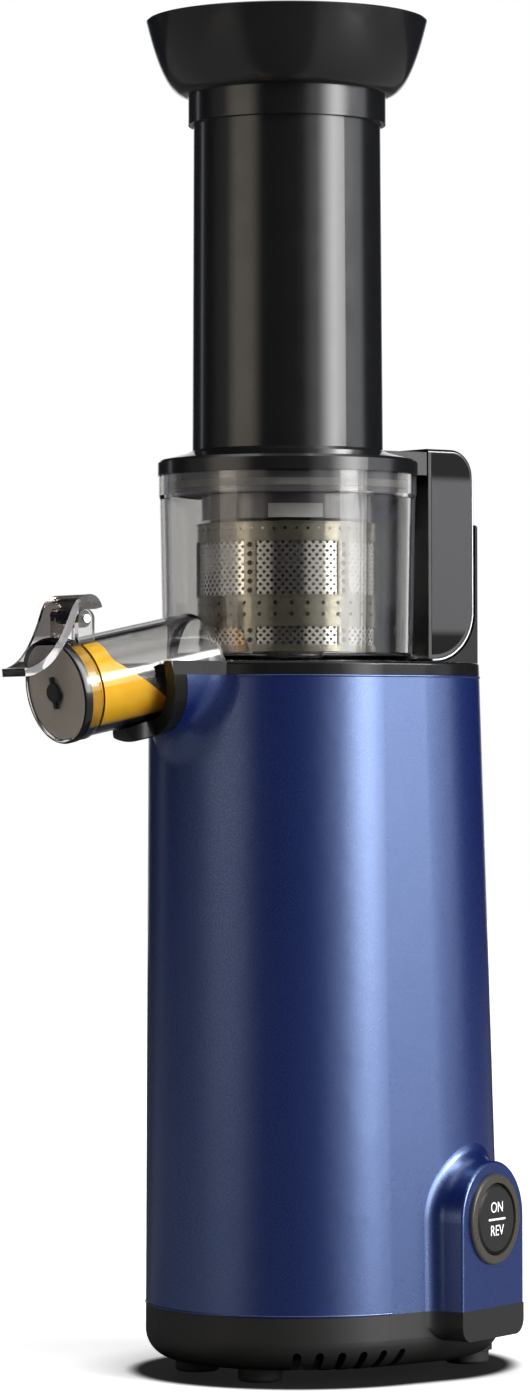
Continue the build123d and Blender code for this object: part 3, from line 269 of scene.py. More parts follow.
def blackSatinAbs():
    # Moulded ABS with a fine spark texture: soft, broad sheen and no clear reflection
    material, tree, out = newMaterial("blackSatinAbs")
    grain = objectNoise(tree, grain=0.6, detail=4.0)
    shader = principled(tree, {
        "Base Color": toLinear("#171716"), "IOR": 1.5,
        "Roughness": spread(tree, grain, 0.42, 0.52), "Normal": bumpFrom(tree, grain, 0.12, 0.0002),
    })
    return finished(material, tree, out, shader)


def bluePaint():
    # Metallic base coat under a satin clear coat: navy pigment in shade, pale aluminium
    # flake in a broad highlight. The flake is drawn at 0.35 mm, coarser than real, to show
    material, tree, out = newMaterial("blueMetallicPaint")
    flake = objectNoise(tree, grain=0.35, detail=1.0)
    cloud = objectNoise(tree, grain=30.0, detail=2.0)
    flakes = principled(tree, {
        "Base Color": blend(tree, cloud, toLinear("#7b91bd"), toLinear("#859bc6")),
        "Metallic": 1.0, "Coat Weight": 0.7, "Coat IOR": 1.5, "Coat Roughness": 0.22,
        "Roughness": spread(tree, flake, 0.26, 0.34), "Normal": bumpFrom(tree, flake, 0.10, 0.0002),
    })
    pigment = principled(tree, {"Base Color": toLinear("#000f48"), "Specular IOR Level": 0.15,
                                "Roughness": 0.22})
    mix = addNode(tree, "ShaderNodeMixShader", None,
                  {"Fac": 0.42, 1: pigment.outputs["BSDF"], 2: flakes.outputs["BSDF"]})
    return finished(material, tree, out, mix)


capTint = {
    # Heights over the spout's axis where the lever's tint sets in, and places along the spout
    # # where its tip darkens to near black as painted shade
    "lever": (14.9, 15.6), "tip": (89.5, 92.5),
}


def smokyClear(name, hexCode, leverHex=None, roughness=0.015, specular=0.5):
    # Moulded copolyester, polished: clear with a grey cast that deepens at its edges.
    # Lamps reach what is behind it. leverHex tints what stands above the spout's tube; its tip is
    # tinted near black as painted shade
    material, tree, out = newMaterial(name)
    wave = objectNoise(tree, grain=12.0, detail=1.0)
    tint = toLinear(hexCode)
    if leverHex:
        tilt = shared["spoutTilt"]
        place = objectPlace(tree)
        axes = {"lever": (0.0, -math.sin(tilt), math.cos(tilt)),
                "tip": (0.0, -math.cos(tilt), -math.sin(tilt))}
        share = {}
        for key, axis in axes.items():
            start = shared["spoutAxisHeight"] * axis[2] * mm
            low, high = capTint[key]
            share[key] = ramp(tree, dot(tree, place, axis), start + low * mm, start + high * mm)
        # near black at the lever's tip: painted shade on its end
        lever = blend(tree, share["tip"], toLinear(leverHex), toLinear("#1c1a19"))
        tint = blend(tree, share["lever"], tint, lever)
    glass = principled(tree, {
        "Base Color": tint, "Roughness": roughness, "IOR": 1.5, "Specular IOR Level": specular,
        "Transmission Weight": 1.0, "Normal": bumpFrom(tree, wave, 0.03, 0.0004),
    })
    lamps = addNode(tree, "ShaderNodeBsdfTransparent", None, {"Color": (0.86, 0.86, 0.86, 1.0)})
    path = addNode(tree, "ShaderNodeLightPath")
    mix = addNode(tree, "ShaderNodeMixShader", None,
                  {"Fac": path.outputs["Is Shadow Ray"], 1: glass.outputs["BSDF"],
                   2: lamps.outputs["BSDF"]})
    return finished(material, tree, out, mix)


def stainlessSteel():
    # Rolled and etched stainless sheet: warm silver, faint drawing marks round the axis
    material, tree, out = newMaterial("stainlessSteel")
    marks = objectNoise(tree, grain=1.2, detail=3.0, stretch=(1.0, 1.0, 6.0))
    shader = principled(tree, {
        "Base Color": toLinear("#dedbd4"), "Metallic": 0.95,
        "Roughness": spread(tree, marks, 0.1, 0.16), "Normal": bumpFrom(tree, marks, 0.06, 0.0001),
    })
    return finished(material, tree, out, shader)


def plainMetal(name, hexCode, roughness):
    # Machined or plated metal inside the casing, with faint mottling
    material, tree, out = newMaterial(name)
    mottle = objectNoise(tree, grain=1.5)
    shader = principled(tree, {
        "Base Color": toLinear(hexCode), "Metallic": 1.0,
        "Roughness": spread(tree, mottle, roughness - 0.05, roughness + 0.07),
    })
    return finished(material, tree, out, shader)


def plainPlastic(name, hexCode, roughness, ior=1.5):
    # Moulded plastic or rubber with a fine even texture
    material, tree, out = newMaterial(name)
    texture = objectNoise(tree, grain=0.8)
    shader = principled(tree, {
        "Base Color": toLinear(hexCode), "IOR": ior,
        "Roughness": spread(tree, texture, roughness - 0.04, roughness + 0.05),
        "Normal": bumpFrom(tree, texture, 0.1, 0.0002),
    })
    return finished(material, tree, out, shader)


def orangeJuice():
    # Strained orange juice: cloudy, light scatters in it and the surface is wet
    material, tree, out = newMaterial("orangeJuice")
    pulp = objectNoise(tree, grain=2.5, detail=4.0)
    shader = principled(tree, {
        "Base Color": blend(tree, pulp, toLinear("#ffb01a"), toLinear("#ffd21a")), "IOR": 1.34,
        "Subsurface Weight": 0.4, "Subsurface Scale": 0.003, "Roughness": 0.2,
    })
    return finished(material, tree, out, shader)


def moulding(name, hexCode):
    # Polished engineering plastic with a pearly, half-metallic sheen
    material, tree, out = newMaterial(name)
    cloud = objectNoise(tree, grain=4.0)
    shader = principled(tree, {
        "Base Color": toLinear(hexCode), "Metallic": 0.8, "IOR": 1.6, "Coat Weight": 0.5,
        "Coat Roughness": 0.06, "Roughness": spread(tree, cloud, 0.14, 0.22),
    })
    return finished(material, tree, out, shader)


def translucentSilicone():
    # Thin clear-grey silicone: most light passes, some scatters
    material, tree, out = newMaterial("translucentSilicone")
    cloud = objectNoise(tree, grain=3.0)
    veil = principled(tree, {"Base Color": toLinear("#dcd9d5"), "IOR": 1.42,
                             "Roughness": spread(tree, cloud, 0.3, 0.4)})
    clear = addNode(tree, "ShaderNodeBsdfTransparent", None, {"Color": toLinear("#d2cfcc")})
    mix = addNode(tree, "ShaderNodeMixShader", None,
                  {"Fac": 0.65, 1: clear.outputs["BSDF"], 2: veil.outputs["BSDF"]})
    return finished(material, tree, out, mix)


inlay = {
    # Heights between which the handle's side is grey, and how soon it turns black beyond them
    "low": 217.0, "high": 266.0, "fade": 3.0, "black": "#0d0d0d", "grey": "#232325",
    "gloss": (0.06, 0.4),
}


def handleSide():
    # Satin grey inlay of the handle's side, black towards its top and foot
    material, tree, out = newMaterial("satinInlayAbs")
    grain = objectNoise(tree, grain=0.6, detail=4.0)
    height = objectHeight(tree)
    black, tint = toLinear(inlay["black"]), toLinear(inlay["grey"])
    ends = (black[0], tint[0])
    for z, step in ((inlay["low"], inlay["fade"]), (inlay["high"], -inlay["fade"])):
        tint = blend(tree, smoothStep(tree, height, z * mm, (z + step) * mm), black, tint)
    grey = addNode(tree, "ShaderNodeSeparateColor", None, {"Color": tint}).outputs["Red"]
    shader = principled(tree, {
        "Base Color": tint, "IOR": 1.5, "Roughness": spread(tree, grain, 0.42, 0.5),
        "Specular IOR Level": ramp(tree, grey, *ends, *inlay["gloss"]),
    })
    return finished(material, tree, out, shader)


print("materials")
glossBlack = blackGlossAbs()
lidBlack = lidAbs()
deckBlack = deckAbs()
satinBlack = blackSatinAbs()
paint = bluePaint()
clearBowl = smokyClear("smokyCopolyester", "#cdccca", specular=0.35)
clearCap = smokyClear("smokyCopolyesterCap", "#dcdad8", "#6f6965")
steel = stainlessSteel()
zinc = plainMetal("zincPlatedSteel", "#b4b6b8", 0.3)
castAluminium = plainMetal("dieCastAluminium", "#b9babc", 0.42)
motorSteel = plainMetal("platedSteelCan", "#9fa1a6", 0.3)
bronze = plainMetal("sinteredBronze", "#b08a4f", 0.45)
copper = plainMetal("enamelledCopper", "#b4693f", 0.35)
rubber = plainPlastic("mouldedRubber", "#1a1a1a", 0.7)
darkSilicone = plainPlastic("darkSilicone", "#17191a", 0.32, ior=1.42)
paleSilicone = plainPlastic("greySilicone", "#6b6a68", 0.5, ior=1.42)
bezelGrey = plainPlastic("greySatinAbs", "#36332f", 0.3)
rockerBlack = plainPlastic("blackNylon", "#161616", 0.45)
handleGrey = handleSide()
# pale metal for the beads that paint the highlight on the handle's edge
edgeHighlight = plainMetal("paleHighlightMetal", "#c8c8cc", 0.45)
warmPei = plainPlastic("warmGreyPei", "#5c5750", 0.42)
acetal = plainPlastic("naturalAcetal", "#ddd8c8", 0.4)
housingGrey = plainPlastic("greyNylon", "#6a6864", 0.5)
board = plainPlastic("glassEpoxy", "#1d5a34", 0.4)
ferrite = plainPlastic("ferrite", "#2a2a2c", 0.6)
juice = orangeJuice()
bandPei = moulding("oliveGreyPei", "#8a8675")
patchGrey = plainPlastic("lightGreyPatch", "#a5a5a4", 0.45)
capGasket = translucentSilicone()
markWhite = plainPlastic("whitePadPrint", "#e9e9e6", 0.5)

finishes = {
    "body_shell": paint, "top_deck": deckBlack, "base_tray": satinBlack, "rubber_feet": rubber,
    "base_screws": zinc, "deck_screws": zinc, "drive_seal": rubber, "cord_gland": rubber,
    "gearbox_housing": housingGrey, "gearbox_base": castAluminium, "gearbox_screws": zinc,
    "output_bush": bronze, "motor_can": motorSteel, "motor_screws": zinc, "motor_magnets": ferrite,
    "motor_bearings": motorSteel, "motor_end_bell": satinBlack, "switch_bezel": bezelGrey,
    "switch_body": satinBlack, "control_board": board, "board_parts": satinBlack,
    "planet_carrier": castAluminium, "planet_pins": steel, "output_shaft": steel,
    "motor_shaft": steel, "sun_gear": steel, "armature": copper, "cooling_fan": satinBlack,
    "planet_gear_1": acetal, "planet_gear_2": acetal, "planet_gear_3": acetal,
    "switch_rocker": rockerBlack, "juice_bowl": clearBowl, "bowl_seal": paleSilicone,
    "bowl_handle": glossBlack, "handle_screws": zinc, "strainer_frame": steel,
    "strainer_mesh": steel, "cap_hinge_pin": steel, "pulp_plug": paleSilicone,
    "auger": warmPei, "juice_cap": clearCap, "cap_seal": darkSilicone, "lid": lidBlack,
    "lid_seal": paleSilicone, "feed_hopper": glossBlack,
}
for node, material in finishes.items():
    dress(node, material)


# ---- strainer: punched screen, punched bands and slotted ribs; dark sheets in the rib slots paint their shade

strainer = {
    # Lowest and highest, outer radius, rows, holes round, hole's half width and half height
    "screens": ((214.0, 219.5, 26.6, 5, 76, 0.55, 0.47), (228.5, 244.5, 26.6, 13, 76, 0.55, 0.47)),
    "bands": ((245.8, 250.0, 27.0, 1, 51, 0.45, 0.45), (221.25, 227.85, 27.0, 2, 36, 0.62, 0.62)),
    "screenWall": 0.12, "bandWall": 0.5,
    "rings": ((212.0, 214.0), (219.2, 221.3), (227.8, 228.7), (244.2, 245.85)),
    "beads": ((249.4, 250.0), (244.2, 244.8), (228.1, 228.7), (219.2, 219.8)),
    "beadLift": 0.3,
    "ribCount": 6, "ribStart": -1.0, "ribWidth": 3.6, "ribLift": 0.6, "ribSink": 0.1,
    "ribZones": ((214.0, 219.5, 2), (228.5, 244.5, 6)),
    # Dark sheets at the floor of the rib slots, painted shade: half width in degrees, then radius
    # and thickness
    "ribHole": (0.85, 0.8), "slotShadeHalf": 2.4, "slotShadeFloor": (26.62, 0.1),
    "meshRadius": 26.6, "ringInside": 26.1, "beadInside": 26.9, "beadSlant": 0.15,
    "floorRadii": (9.8, 26.2), "floorHeights": (212.0, 214.0),
}


def punchedWall(low, high, outside, wall, rows, columns, holeAcross, holeUp, turns=None,
                stagger=True):
    # Each cell of the wall is a rectangle whose middle has an eight-cornered hole:
    # both faces are rings of quads between rectangle and hole, and the hole's walls join them.
    # turns: first and last turn of a patch that doesn't close, whose cells get side walls
    count = 8
    corners = np.arange(count)
    angle = corners * 2 * np.pi / count
    first, last = turns or (0.0, 2 * np.pi)
    pitch, step = (last - first) / columns, (high - low) / rows
    row, column = np.meshgrid(np.arange(rows), np.arange(columns), indexing="ij")
    shift = 0.5 * (row % 2) if stagger else 0.0
    middleTurn = first + (column + 0.5 + shift) * pitch
    middleHeight = low + (row + 0.5) * step
    tangent = np.tan(angle)
    flatness = np.minimum(1, 1 / np.maximum(np.abs(tangent), 1e-9))
    edgeTurn = np.sign(np.cos(angle)) * flatness * pitch / 2
    edgeUp = np.sign(np.sin(angle)) * np.minimum(1, np.abs(tangent)) * step / 2
    ringTurn = np.stack([edgeTurn, np.cos(angle) * holeAcross / outside])
    ringUp = np.stack([edgeUp, np.sin(angle) * holeUp])
    turn = middleTurn[..., None, None] + ringTurn
    height = middleHeight[..., None, None] + ringUp
    turn, height = np.stack([turn, turn], axis=2), np.stack([height, height], axis=2)
    radius = np.array([outside, outside - wall])[None, None, :, None, None]
    radius = np.broadcast_to(radius, turn.shape)
    points = np.stack([radius * np.cos(turn), radius * np.sin(turn), height], axis=-1)
    points = points.reshape(-1, 3)
    after = (corners + 1) % count
    outEdge, outHole, inEdge, inHole = (corners + ring * count for ring in range(4))
    faces = [np.stack([outEdge, outEdge[after], outHole[after], outHole], axis=-1),
             np.stack([inHole, inHole[after], inEdge[after], inEdge], axis=-1),
             np.stack([outHole, outHole[after], inHole[after], inHole], axis=-1)]
    if turns:
        faces.append(np.stack([inEdge, inEdge[after], outEdge[after], outEdge], axis=-1))
    faces = np.concatenate(faces)
    cell = np.arange(rows * columns)[:, None, None] * 4 * count
    return points, (faces[None] + cell).reshape(-1, 4)


def curvedPatch(radius, thickness, low, high, middle, half, steps=24):
    # A patch of a cylinder round the drive axis with its four edges closed; angles in degrees
    turn = np.radians(middle + np.linspace(-half, half, steps))
    outline = np.array([(radius, low), (radius + thickness, low), (radius + thickness, high),
                        (radius, high)])
    points = np.stack([outline[:, :1] * np.cos(turn), outline[:, :1] * np.sin(turn),
                       np.broadcast_to(outline[:, 1:], (4, steps))], axis=-1).reshape(-1, 3)
    faces = [list(face)[::-1] for face in gridFaces(4, steps, closeRows=True)]
    ends = [[row * steps for row in range(4)], [row * steps + steps - 1 for row in (3, 2, 1, 0)]]
    return points, np.array(faces + ends)


def joined(name, parts, material, sharpAngle=20.0):
    # One mesh from several (points, faces)
    start, points, faces = 0, [], []
    for part, quads in parts:
        points.append(part)
        faces.append(np.asarray(quads) + start)
        start += len(part)
    return meshPiece(name, np.concatenate(points), np.concatenate(faces), material, sharpAngle)


print("strainer")
screenPiece = joined("strainerScreen", [
    punchedWall(low, high, outside, strainer["screenWall"], rows, columns, across, up)
    for low, high, outside, rows, columns, across, up in strainer["screens"]
], steel)
bandPiece = joined("strainerBands", [
    punchedWall(low, high, outside, strainer["bandWall"], rows, columns, across, up, stagger=False)
    for low, high, outside, rows, columns, across, up in strainer["bands"]
], bandPei)
ribParts, slotShadeParts = [], []
for index in range(strainer["ribCount"]):
    middle = math.radians(strainer["ribStart"] + index * 360 / strainer["ribCount"])
    half = strainer["ribWidth"] / 2 / shared["strainerRadius"]
    for low, high, rows in strainer["ribZones"]:
        ribParts.append(punchedWall(
            low, high, strainer["meshRadius"] + strainer["ribLift"],
            strainer["ribLift"] + strainer["ribSink"], rows, 1, *strainer["ribHole"],
            turns=(middle - half, middle + half), stagger=False))
        # A dark rubber sheet inside each rib's slots stands in for the shade in them: painted shade
        slotShadeParts.append(curvedPatch(*strainer["slotShadeFloor"], low, high, math.degrees(middle),
                                     strainer["slotShadeHalf"], steps=6))
ribPiece = joined("strainerRibs", ribParts, bandPei)
slotShadePiece = joined("strainerSlotShade", slotShadeParts, rubber)


def bandAround(name, inside, low, high, lift=0.0, slant=0.0, sharpAngle=35.0):
    # A ring from inside the strainer's radius to lift beyond it, its edges slanted
    outside = shared["strainerRadius"] + lift
    outline = [(inside, low), (outside, low + slant), (outside, high - slant), (inside, high)]
    return turnedPiece(name, outline, bandPei, sharpAngle=sharpAngle)


ringPieces = [bandAround(f"strainerRing{index}", strainer["ringInside"], low, high)
              for index, (low, high) in enumerate(strainer["rings"])]
beadPieces = [bandAround(f"strainerBead{index}", strainer["beadInside"], low, high,
                         strainer["beadLift"], strainer["beadSlant"], 60)
              for index, (low, high) in enumerate(strainer["beads"])]
(floorIn, floorOut), (floorLow, floorHigh) = strainer["floorRadii"], strainer["floorHeights"]
floorPiece = turnedPiece("strainerFloor", [(floorIn, floorLow), (floorOut, floorLow),
                                           (floorOut, floorHigh), (floorIn, floorHigh)], bandPei)
for piece in [screenPiece, bandPiece, ribPiece, slotShadePiece, floorPiece] + ringPieces + beadPieces:
    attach(piece, "bowl")
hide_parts("strainer_mesh")
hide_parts("strainer_frame")


# ---- juice in the spout

juiceFill = {
    "radius": 12.15, "start": 33.0, "end": 82.5,
    # Place along the spout of the surface at its depth under the axis, its lean and last place
    "surfaceFoot": 57.0, "surfaceDepth": 5.0, "surfaceSlope": 1.25, "surfaceLast": 71.5,
    "crown": 1.0,                      # how far the slanted end's middle lies past its mean
    "steps": 48, "rings": 24,
}


def spoutJuice():
    # A bar in the spout's bore whose inner end is cut aslant: its start grows with the height
    turn = np.linspace(0, 2 * np.pi, juiceFill["steps"], endpoint=False)
    across, up = np.cos(turn) * juiceFill["radius"], np.sin(turn) * juiceFill["radius"]
    start = juiceFill["surfaceFoot"] + (up + juiceFill["surfaceDepth"]) * juiceFill["surfaceSlope"]
    start = np.clip(start, juiceFill["start"], juiceFill["surfaceLast"])
    share = np.linspace(0, 1, juiceFill["rings"])[:, None]
    along = start * (1 - share) + juiceFill["end"] * share
    points = spoutPoint(across, up, along)
    inner = spoutPoint(0.0, 0.0, start.mean() + juiceFill["crown"])
    outer = spoutPoint(0.0, 0.0, juiceFill["end"])
    steps, rings = juiceFill["steps"], juiceFill["rings"]
    faces = [list(face)[::-1] for face in gridFaces(rings, steps, closeColumns=True)]
    last = (rings - 1) * steps
    for k in range(steps):
        after = (k + 1) % steps
        faces.append([rings * steps, k, after])
        faces.append([rings * steps + 1, last + after, last + k])
    points = np.concatenate([points.reshape(-1, 3), [inner, outer]])
    return meshPiece("spoutJuice", points, faces, juice, 40)


print("juice")
juicePiece = spoutJuice()
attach(juicePiece, "bowl")


# ---- marks on the rocker

marks = {"out": 52.65, "lineHalf": 4.6, "lineThick": 0.55, "textSize": 4.4, "textUp": 3.4,
         "raised": 0.03}


def rockerMarks():
    # Pad-printed words above and below a line, each lifted a hair off the rocker
    made = []
    for word, up in (("ON", marks["textUp"]), ("REV", -marks["textUp"])):
        curve = bpy.data.curves.new("mark" + word, "FONT")
        curve.body = word
        curve.size = marks["textSize"] * mm
        curve.align_x = "CENTER"
        curve.align_y = "CENTER"
        curve.extrude = marks["raised"] * mm
        carrier = bpy.data.objects.new("mark" + word, curve)
        bpy.context.scene.collection.objects.link(carrier)
        bpy.context.view_layer.update()
        mesh = bpy.data.meshes.new_from_object(carrier.evaluated_get(
            bpy.context.evaluated_depsgraph_get()))
        bpy.data.objects.remove(carrier)
        points = np.zeros(len(mesh.vertices) * 3)
        mesh.vertices.foreach_get("co", points)
        points = points.reshape(-1, 3) / mm
        placed = switchPoint(points[:, 0], points[:, 1] + up, marks["out"] + points[:, 2])
        mesh.vertices.foreach_set("co", (placed * mm).ravel())
        mesh.materials.clear()
        mesh.materials.append(markWhite)
        mesh.update()
        piece = bpy.data.objects.new("rockerMark" + word, mesh)
        bpy.context.scene.collection.objects.link(piece)
        made.append(piece)
    half, thick = marks["lineHalf"], marks["lineThick"] / 2
    side = np.array([-half, half, half, -half] * 2)
    up = np.array([-thick, -thick, thick, thick] * 2)
    out = marks["out"] + np.repeat([-marks["raised"], marks["raised"]], 4)
    made.append(meshPiece("rockerLine", switchPoint(side, up, out), boxFaces, markWhite))
    return made


print("marks")
for piece in rockerMarks():
    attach(piece, "rocker")


# ---- cap: gasket seen through the disc, a black band painted as the dark edge of the disc's rim, and knob

cap = {
    "front": 85.2,                     # of the disc, along the spout
    "gasketRadius": 13.6, "gasketStart": 82.75, "gasketEnd": 83.85,
    # The band is a black ring where the clear disc's rounded rim looks dark: painted shade
    "bandRadius": 14.81, "bandThickness": 0.2, "bandWidth": 2.6, "bandBevel": 0.1,
    "bandShoulder": 0.45, "bandSetBack": 0.2,
    "knobRadius": 2.8, "knobHeight": 1.5, "knobBevel": 0.5, "stemRadius": 1.5, "stemSink": 1.3,
    "finLength": 4.6, "finWidth": 1.3, "finHeight": 1.0,
    "lift": 0.02,                      # of knob and fins off the disc
    "core": 0.01,                      # radius left open on the axis
}


def spoutTurned(name, outline, material, steps=96, sharpAngle=35.0):
    # A closed outline of (radius, place along) carried round the spout's axis
    outline = np.asarray(outline, float)
    turn = np.linspace(0, 2 * np.pi, steps, endpoint=False)
    radius, along = outline[:, :1], outline[:, 1:]
    points = spoutPoint(radius * np.cos(turn), radius * np.sin(turn), along)
    return meshPiece(name, points, turnedFaces(outline, steps, -1), material, sharpAngle)


def capPieces():
    front = cap["front"]
    gasket = spoutTurned("capGasket", [
        (cap["core"], cap["gasketStart"]), (cap["gasketRadius"], cap["gasketStart"]),
        (cap["gasketRadius"], cap["gasketEnd"]), (cap["core"], cap["gasketEnd"]),
    ], capGasket)
    inner, outer = cap["bandRadius"], cap["bandRadius"] + cap["bandThickness"]
    back, bevel, end = front - cap["bandWidth"], cap["bandBevel"], front - cap["bandSetBack"]
    band = spoutTurned("capRimShade", [
        (inner, back), (outer, back + bevel), (outer, front - cap["bandShoulder"]),
        (outer - bevel, end), (inner, end),
    ], glossBlack)
    radius, top, bevel = cap["knobRadius"], front + cap["knobHeight"], cap["knobBevel"]
    foot, seat = front - cap["stemSink"], front + cap["lift"]
    knob = spoutTurned("capKnob", [
        (cap["core"], foot), (cap["stemRadius"], foot), (cap["stemRadius"], seat),
        (radius, seat), (radius, top - bevel), (radius - bevel, top), (cap["core"], top),
    ], rubber)
    half, reach, up = cap["finWidth"] / 2, cap["finLength"], cap["finHeight"]
    x = np.array([-half, half, half, -half] * 2)
    y = np.array([-reach, -reach, reach, reach] * 2)
    along = front + np.repeat([cap["lift"], up], 4)
    faces = [face[::-1] for face in boxFaces]
    fins = meshPiece("capFins", spoutPoint(x, y, along), faces, rubber)
    return gasket, band, knob, fins


print("cap")
capParts = capPieces()
for piece in capParts:
    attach(piece, "cap")
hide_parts("cap_seal")


# ---- thin beads: rims of the blue-painted shell, and pale metal beads as a painted highlight on the handle's edge

rims = {
    # Height, radius, front centre and rear centre of the shell's outline
    "top": (204.72, 43.0, 2.0, 17.6), "foot": (20.28, 45.0, 3.0, 22.0),
    "bead": 0.38, "sink": 0.12,
    "frontHalf": 21.0,                 # the spout's fairing interrupts the top rim
    "rearHalf": 13.4,                  # so does the column behind the handle
    "switchHalf": 23.6,                # and the switch housing the lower one
}
# Path of those highlight beads: side, rear edge, foot, round of the foot, top, front, bead radius
edge = {"side": 12.7, "rear": 60.0, "foot": 210.2, "round": 14.71, "top": 265.5, "front": 44.5,
        "bead": 0.42}


def beadAlong(name, path, bead, material, sides=10):
    # A round bar along a path: its section turns about the path's direction t with
    # a = t x z or t x x, b = t x a, and points p + bead (a cos + b sin)
    path = np.asarray(path, float)
    along = np.gradient(path, axis=0)
    along /= np.linalg.norm(along, axis=1, keepdims=True)
    level = np.abs(along[:, 2]).max() < 0.5
    axis = np.array([0.0, 0.0, 1.0] if level else [1.0, 0.0, 0.0])
    a = np.cross(along, axis)
    a /= np.linalg.norm(a, axis=1, keepdims=True)
    b = np.cross(along, a)
    turn = np.linspace(0, 2 * np.pi, sides, endpoint=False)[None, :, None]
    points = path[:, None] + bead * (a[:, None] * np.cos(turn) + b[:, None] * np.sin(turn))
    count = len(path)
    faces = [list(face) for face in gridFaces(count, sides, closeColumns=True)]
    faces.append(list(range(sides))[::-1])
    faces.append(list(range((count - 1) * sides, count * sides)))
    return meshPiece(name, points, [face[::-1] for face in faces], material, 60)


def rimPath(height, radius, front, rear, steps=60):
    # The slot outline, from its foremost point over +X to the rear and back over -X
    reach = radius - rims["sink"]
    turn = np.linspace(-np.pi / 2, 0, steps)
    half = np.concatenate([
        np.stack([reach * np.cos(part), centre + reach * np.sin(part)], axis=-1)
        for part, centre in ((turn, front), (turn + np.pi / 2, rear))])
    both = np.concatenate([half, (half * [-1, 1])[::-1]])
    return np.column_stack([both, np.full(len(both), height)])


def rimPieces():
    made = []
    top = rimPath(*rims["top"])
    keep = np.where(top[:, 1] < 0, np.abs(top[:, 0]) > rims["frontHalf"],
                    np.abs(top[:, 0]) > rims["rearHalf"])
    for side, name in ((1, "Right"), (-1, "Left")):
        part = top[keep & (top[:, 0] * side > 0)]
        made.append(beadAlong("shellRim" + name, part, rims["bead"], paint))
    foot = rimPath(*rims["foot"])
    turn = shared["switchTurn"]
    sideways = (foot[:, 1] - rims["foot"][3]) * math.cos(turn) - foot[:, 0] * math.sin(turn)
    inHousing = (np.abs(sideways) < rims["switchHalf"]) & (foot[:, 0] > 0)
    last = np.where(inHousing)[0]
    made.append(beadAlong("shellFootFront", foot[:last[0]], rims["bead"], paint))
    made.append(beadAlong("shellFootRear", foot[last[-1] + 1:], rims["bead"], paint))
    return made


def handleEdges():
    # Down the rear edge, round the foot and forward, on both sides: pale metal beads that paint the
    # highlight of the handle's rounded edge
    turn = np.radians(np.linspace(0, -90, 24))
    arcY = edge["rear"] - edge["round"] + edge["round"] * np.cos(turn)
    arcZ = edge["foot"] + edge["round"] + edge["round"] * np.sin(turn)
    straight = np.linspace(edge["top"], edge["foot"] + edge["round"], 12)[:-1]
    flat = np.linspace(edge["rear"] - edge["round"], edge["front"], 4)[1:]
    y = np.concatenate([np.full(len(straight), edge["rear"]), arcY, flat])
    z = np.concatenate([straight, arcZ, np.full(len(flat), edge["foot"])])
    x = np.full(len(y), edge["side"])
    return [beadAlong("handleEdge" + name, np.column_stack([side * x, y, z]), edge["bead"], edgeHighlight)
            for side, name in ((1, "Right"), (-1, "Left"))]


print("rims")
for piece in rimPieces():
    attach(piece, "root")
for piece in handleEdges():
    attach(piece, "bowl")


# ---- light grey patch on the lid's inner tube

patchSpan = {"radius": 25.75, "thickness": 0.5, "low": 251.1, "high": 255.2, "middle": -32.0,
       "half": 17.5}
patchPiece = joined("throatPatch", [curvedPatch(*patchSpan.values())], patchGrey)
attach(patchPiece, "lid")


# ---- hopper, flared from its collar

hopper = {
    "collar": 29.3, "start": 29.9, "rim": 41.7, "low": 368.6, "neck": 377.4, "top": 399.5,
    "wall": 2.1, "power": 0.45, "socket": 27.9, "socketTop": 374.1, "throat": 25.5,
    "steps": 26, "lip": 0.3, "innerStart": 0.1,   # share of the height where the inside starts
}


def hopperPiece():
    # r = start + (rim - start) t^power, with t from 0 at the neck to 1 at the top
    t = np.linspace(0, 1, hopper["steps"]) ** 2
    height = hopper["neck"] + (hopper["top"] - hopper["lip"] - hopper["neck"]) * t
    radius = hopper["start"] + (hopper["rim"] - hopper["start"]) * t ** hopper["power"]
    inside = t > hopper["innerStart"]
    outer = np.column_stack([radius, height])
    inner = np.column_stack([radius - hopper["wall"], height])[inside][::-1]
    outline = [(hopper["socket"], hopper["low"]), (hopper["collar"], hopper["low"]),
               (hopper["collar"], hopper["neck"]), *outer[1:],
               (hopper["rim"] - hopper["lip"], hopper["top"]),
               (hopper["rim"] - hopper["wall"] + hopper["lip"], hopper["top"]), *inner,
               (hopper["throat"], hopper["neck"]), (hopper["throat"], hopper["socketTop"]),
               (hopper["socket"], hopper["socketTop"])]
    return turnedPiece("hopperShell", outline, glossBlack)


print("hopper")
hopperShell = hopperPiece()
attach(hopperShell, "hopper")
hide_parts("feed_hopper")


# ---- satin panels on the sides of the handle

panel = {
    "side": 13.0, "lift": 0.12, "front": 44.2, "rear": 59.0, "low": 211.8, "high": 272.3,
    "topRound": 7.0, "footRound": 14.0,
}


def handlePanels():
    # Outline in the plane of the side face: straight front, arcs at the rear's top and foot
    front, rear, low, high = panel["front"], panel["rear"], panel["low"], panel["high"]
    foot, top = panel["footRound"], panel["topRound"]
    turn = np.radians(np.linspace(-90, 0, 13))
    footArc = np.stack([rear - foot + foot * np.cos(turn),
                        low + foot + foot * np.sin(turn)], axis=-1)
    topArc = np.stack([rear - top + top * np.cos(turn + np.pi / 2),
                       high - top + top * np.sin(turn + np.pi / 2)], axis=-1)
    outline = np.concatenate([[(front, low)], footArc, topArc, [(front, high)]])
    made = []
    for side in (-1, 1):
        inner = np.full(len(outline), side * panel["side"])
        outer = np.full(len(outline), side * (panel["side"] + panel["lift"]))
        points = np.concatenate([np.column_stack([x, outline]) for x in (inner, outer)])
        count = len(outline)
        k = np.arange(count)
        rim = np.stack([k, (k + 1) % count, (k + 1) % count + count, k + count], axis=-1).tolist()
        faces = rim + [list(range(count))[::-1], list(range(count, 2 * count))]
        if side < 0:
            faces = [face[::-1] for face in faces]
        made.append(meshPiece("handlePanelRight" if side > 0 else "handlePanelLeft", points, faces,
                              handleGrey))
    return made


print("panels")
for piece in handlePanels():
    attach(piece, "bowl")


# ---- camera, floor and light

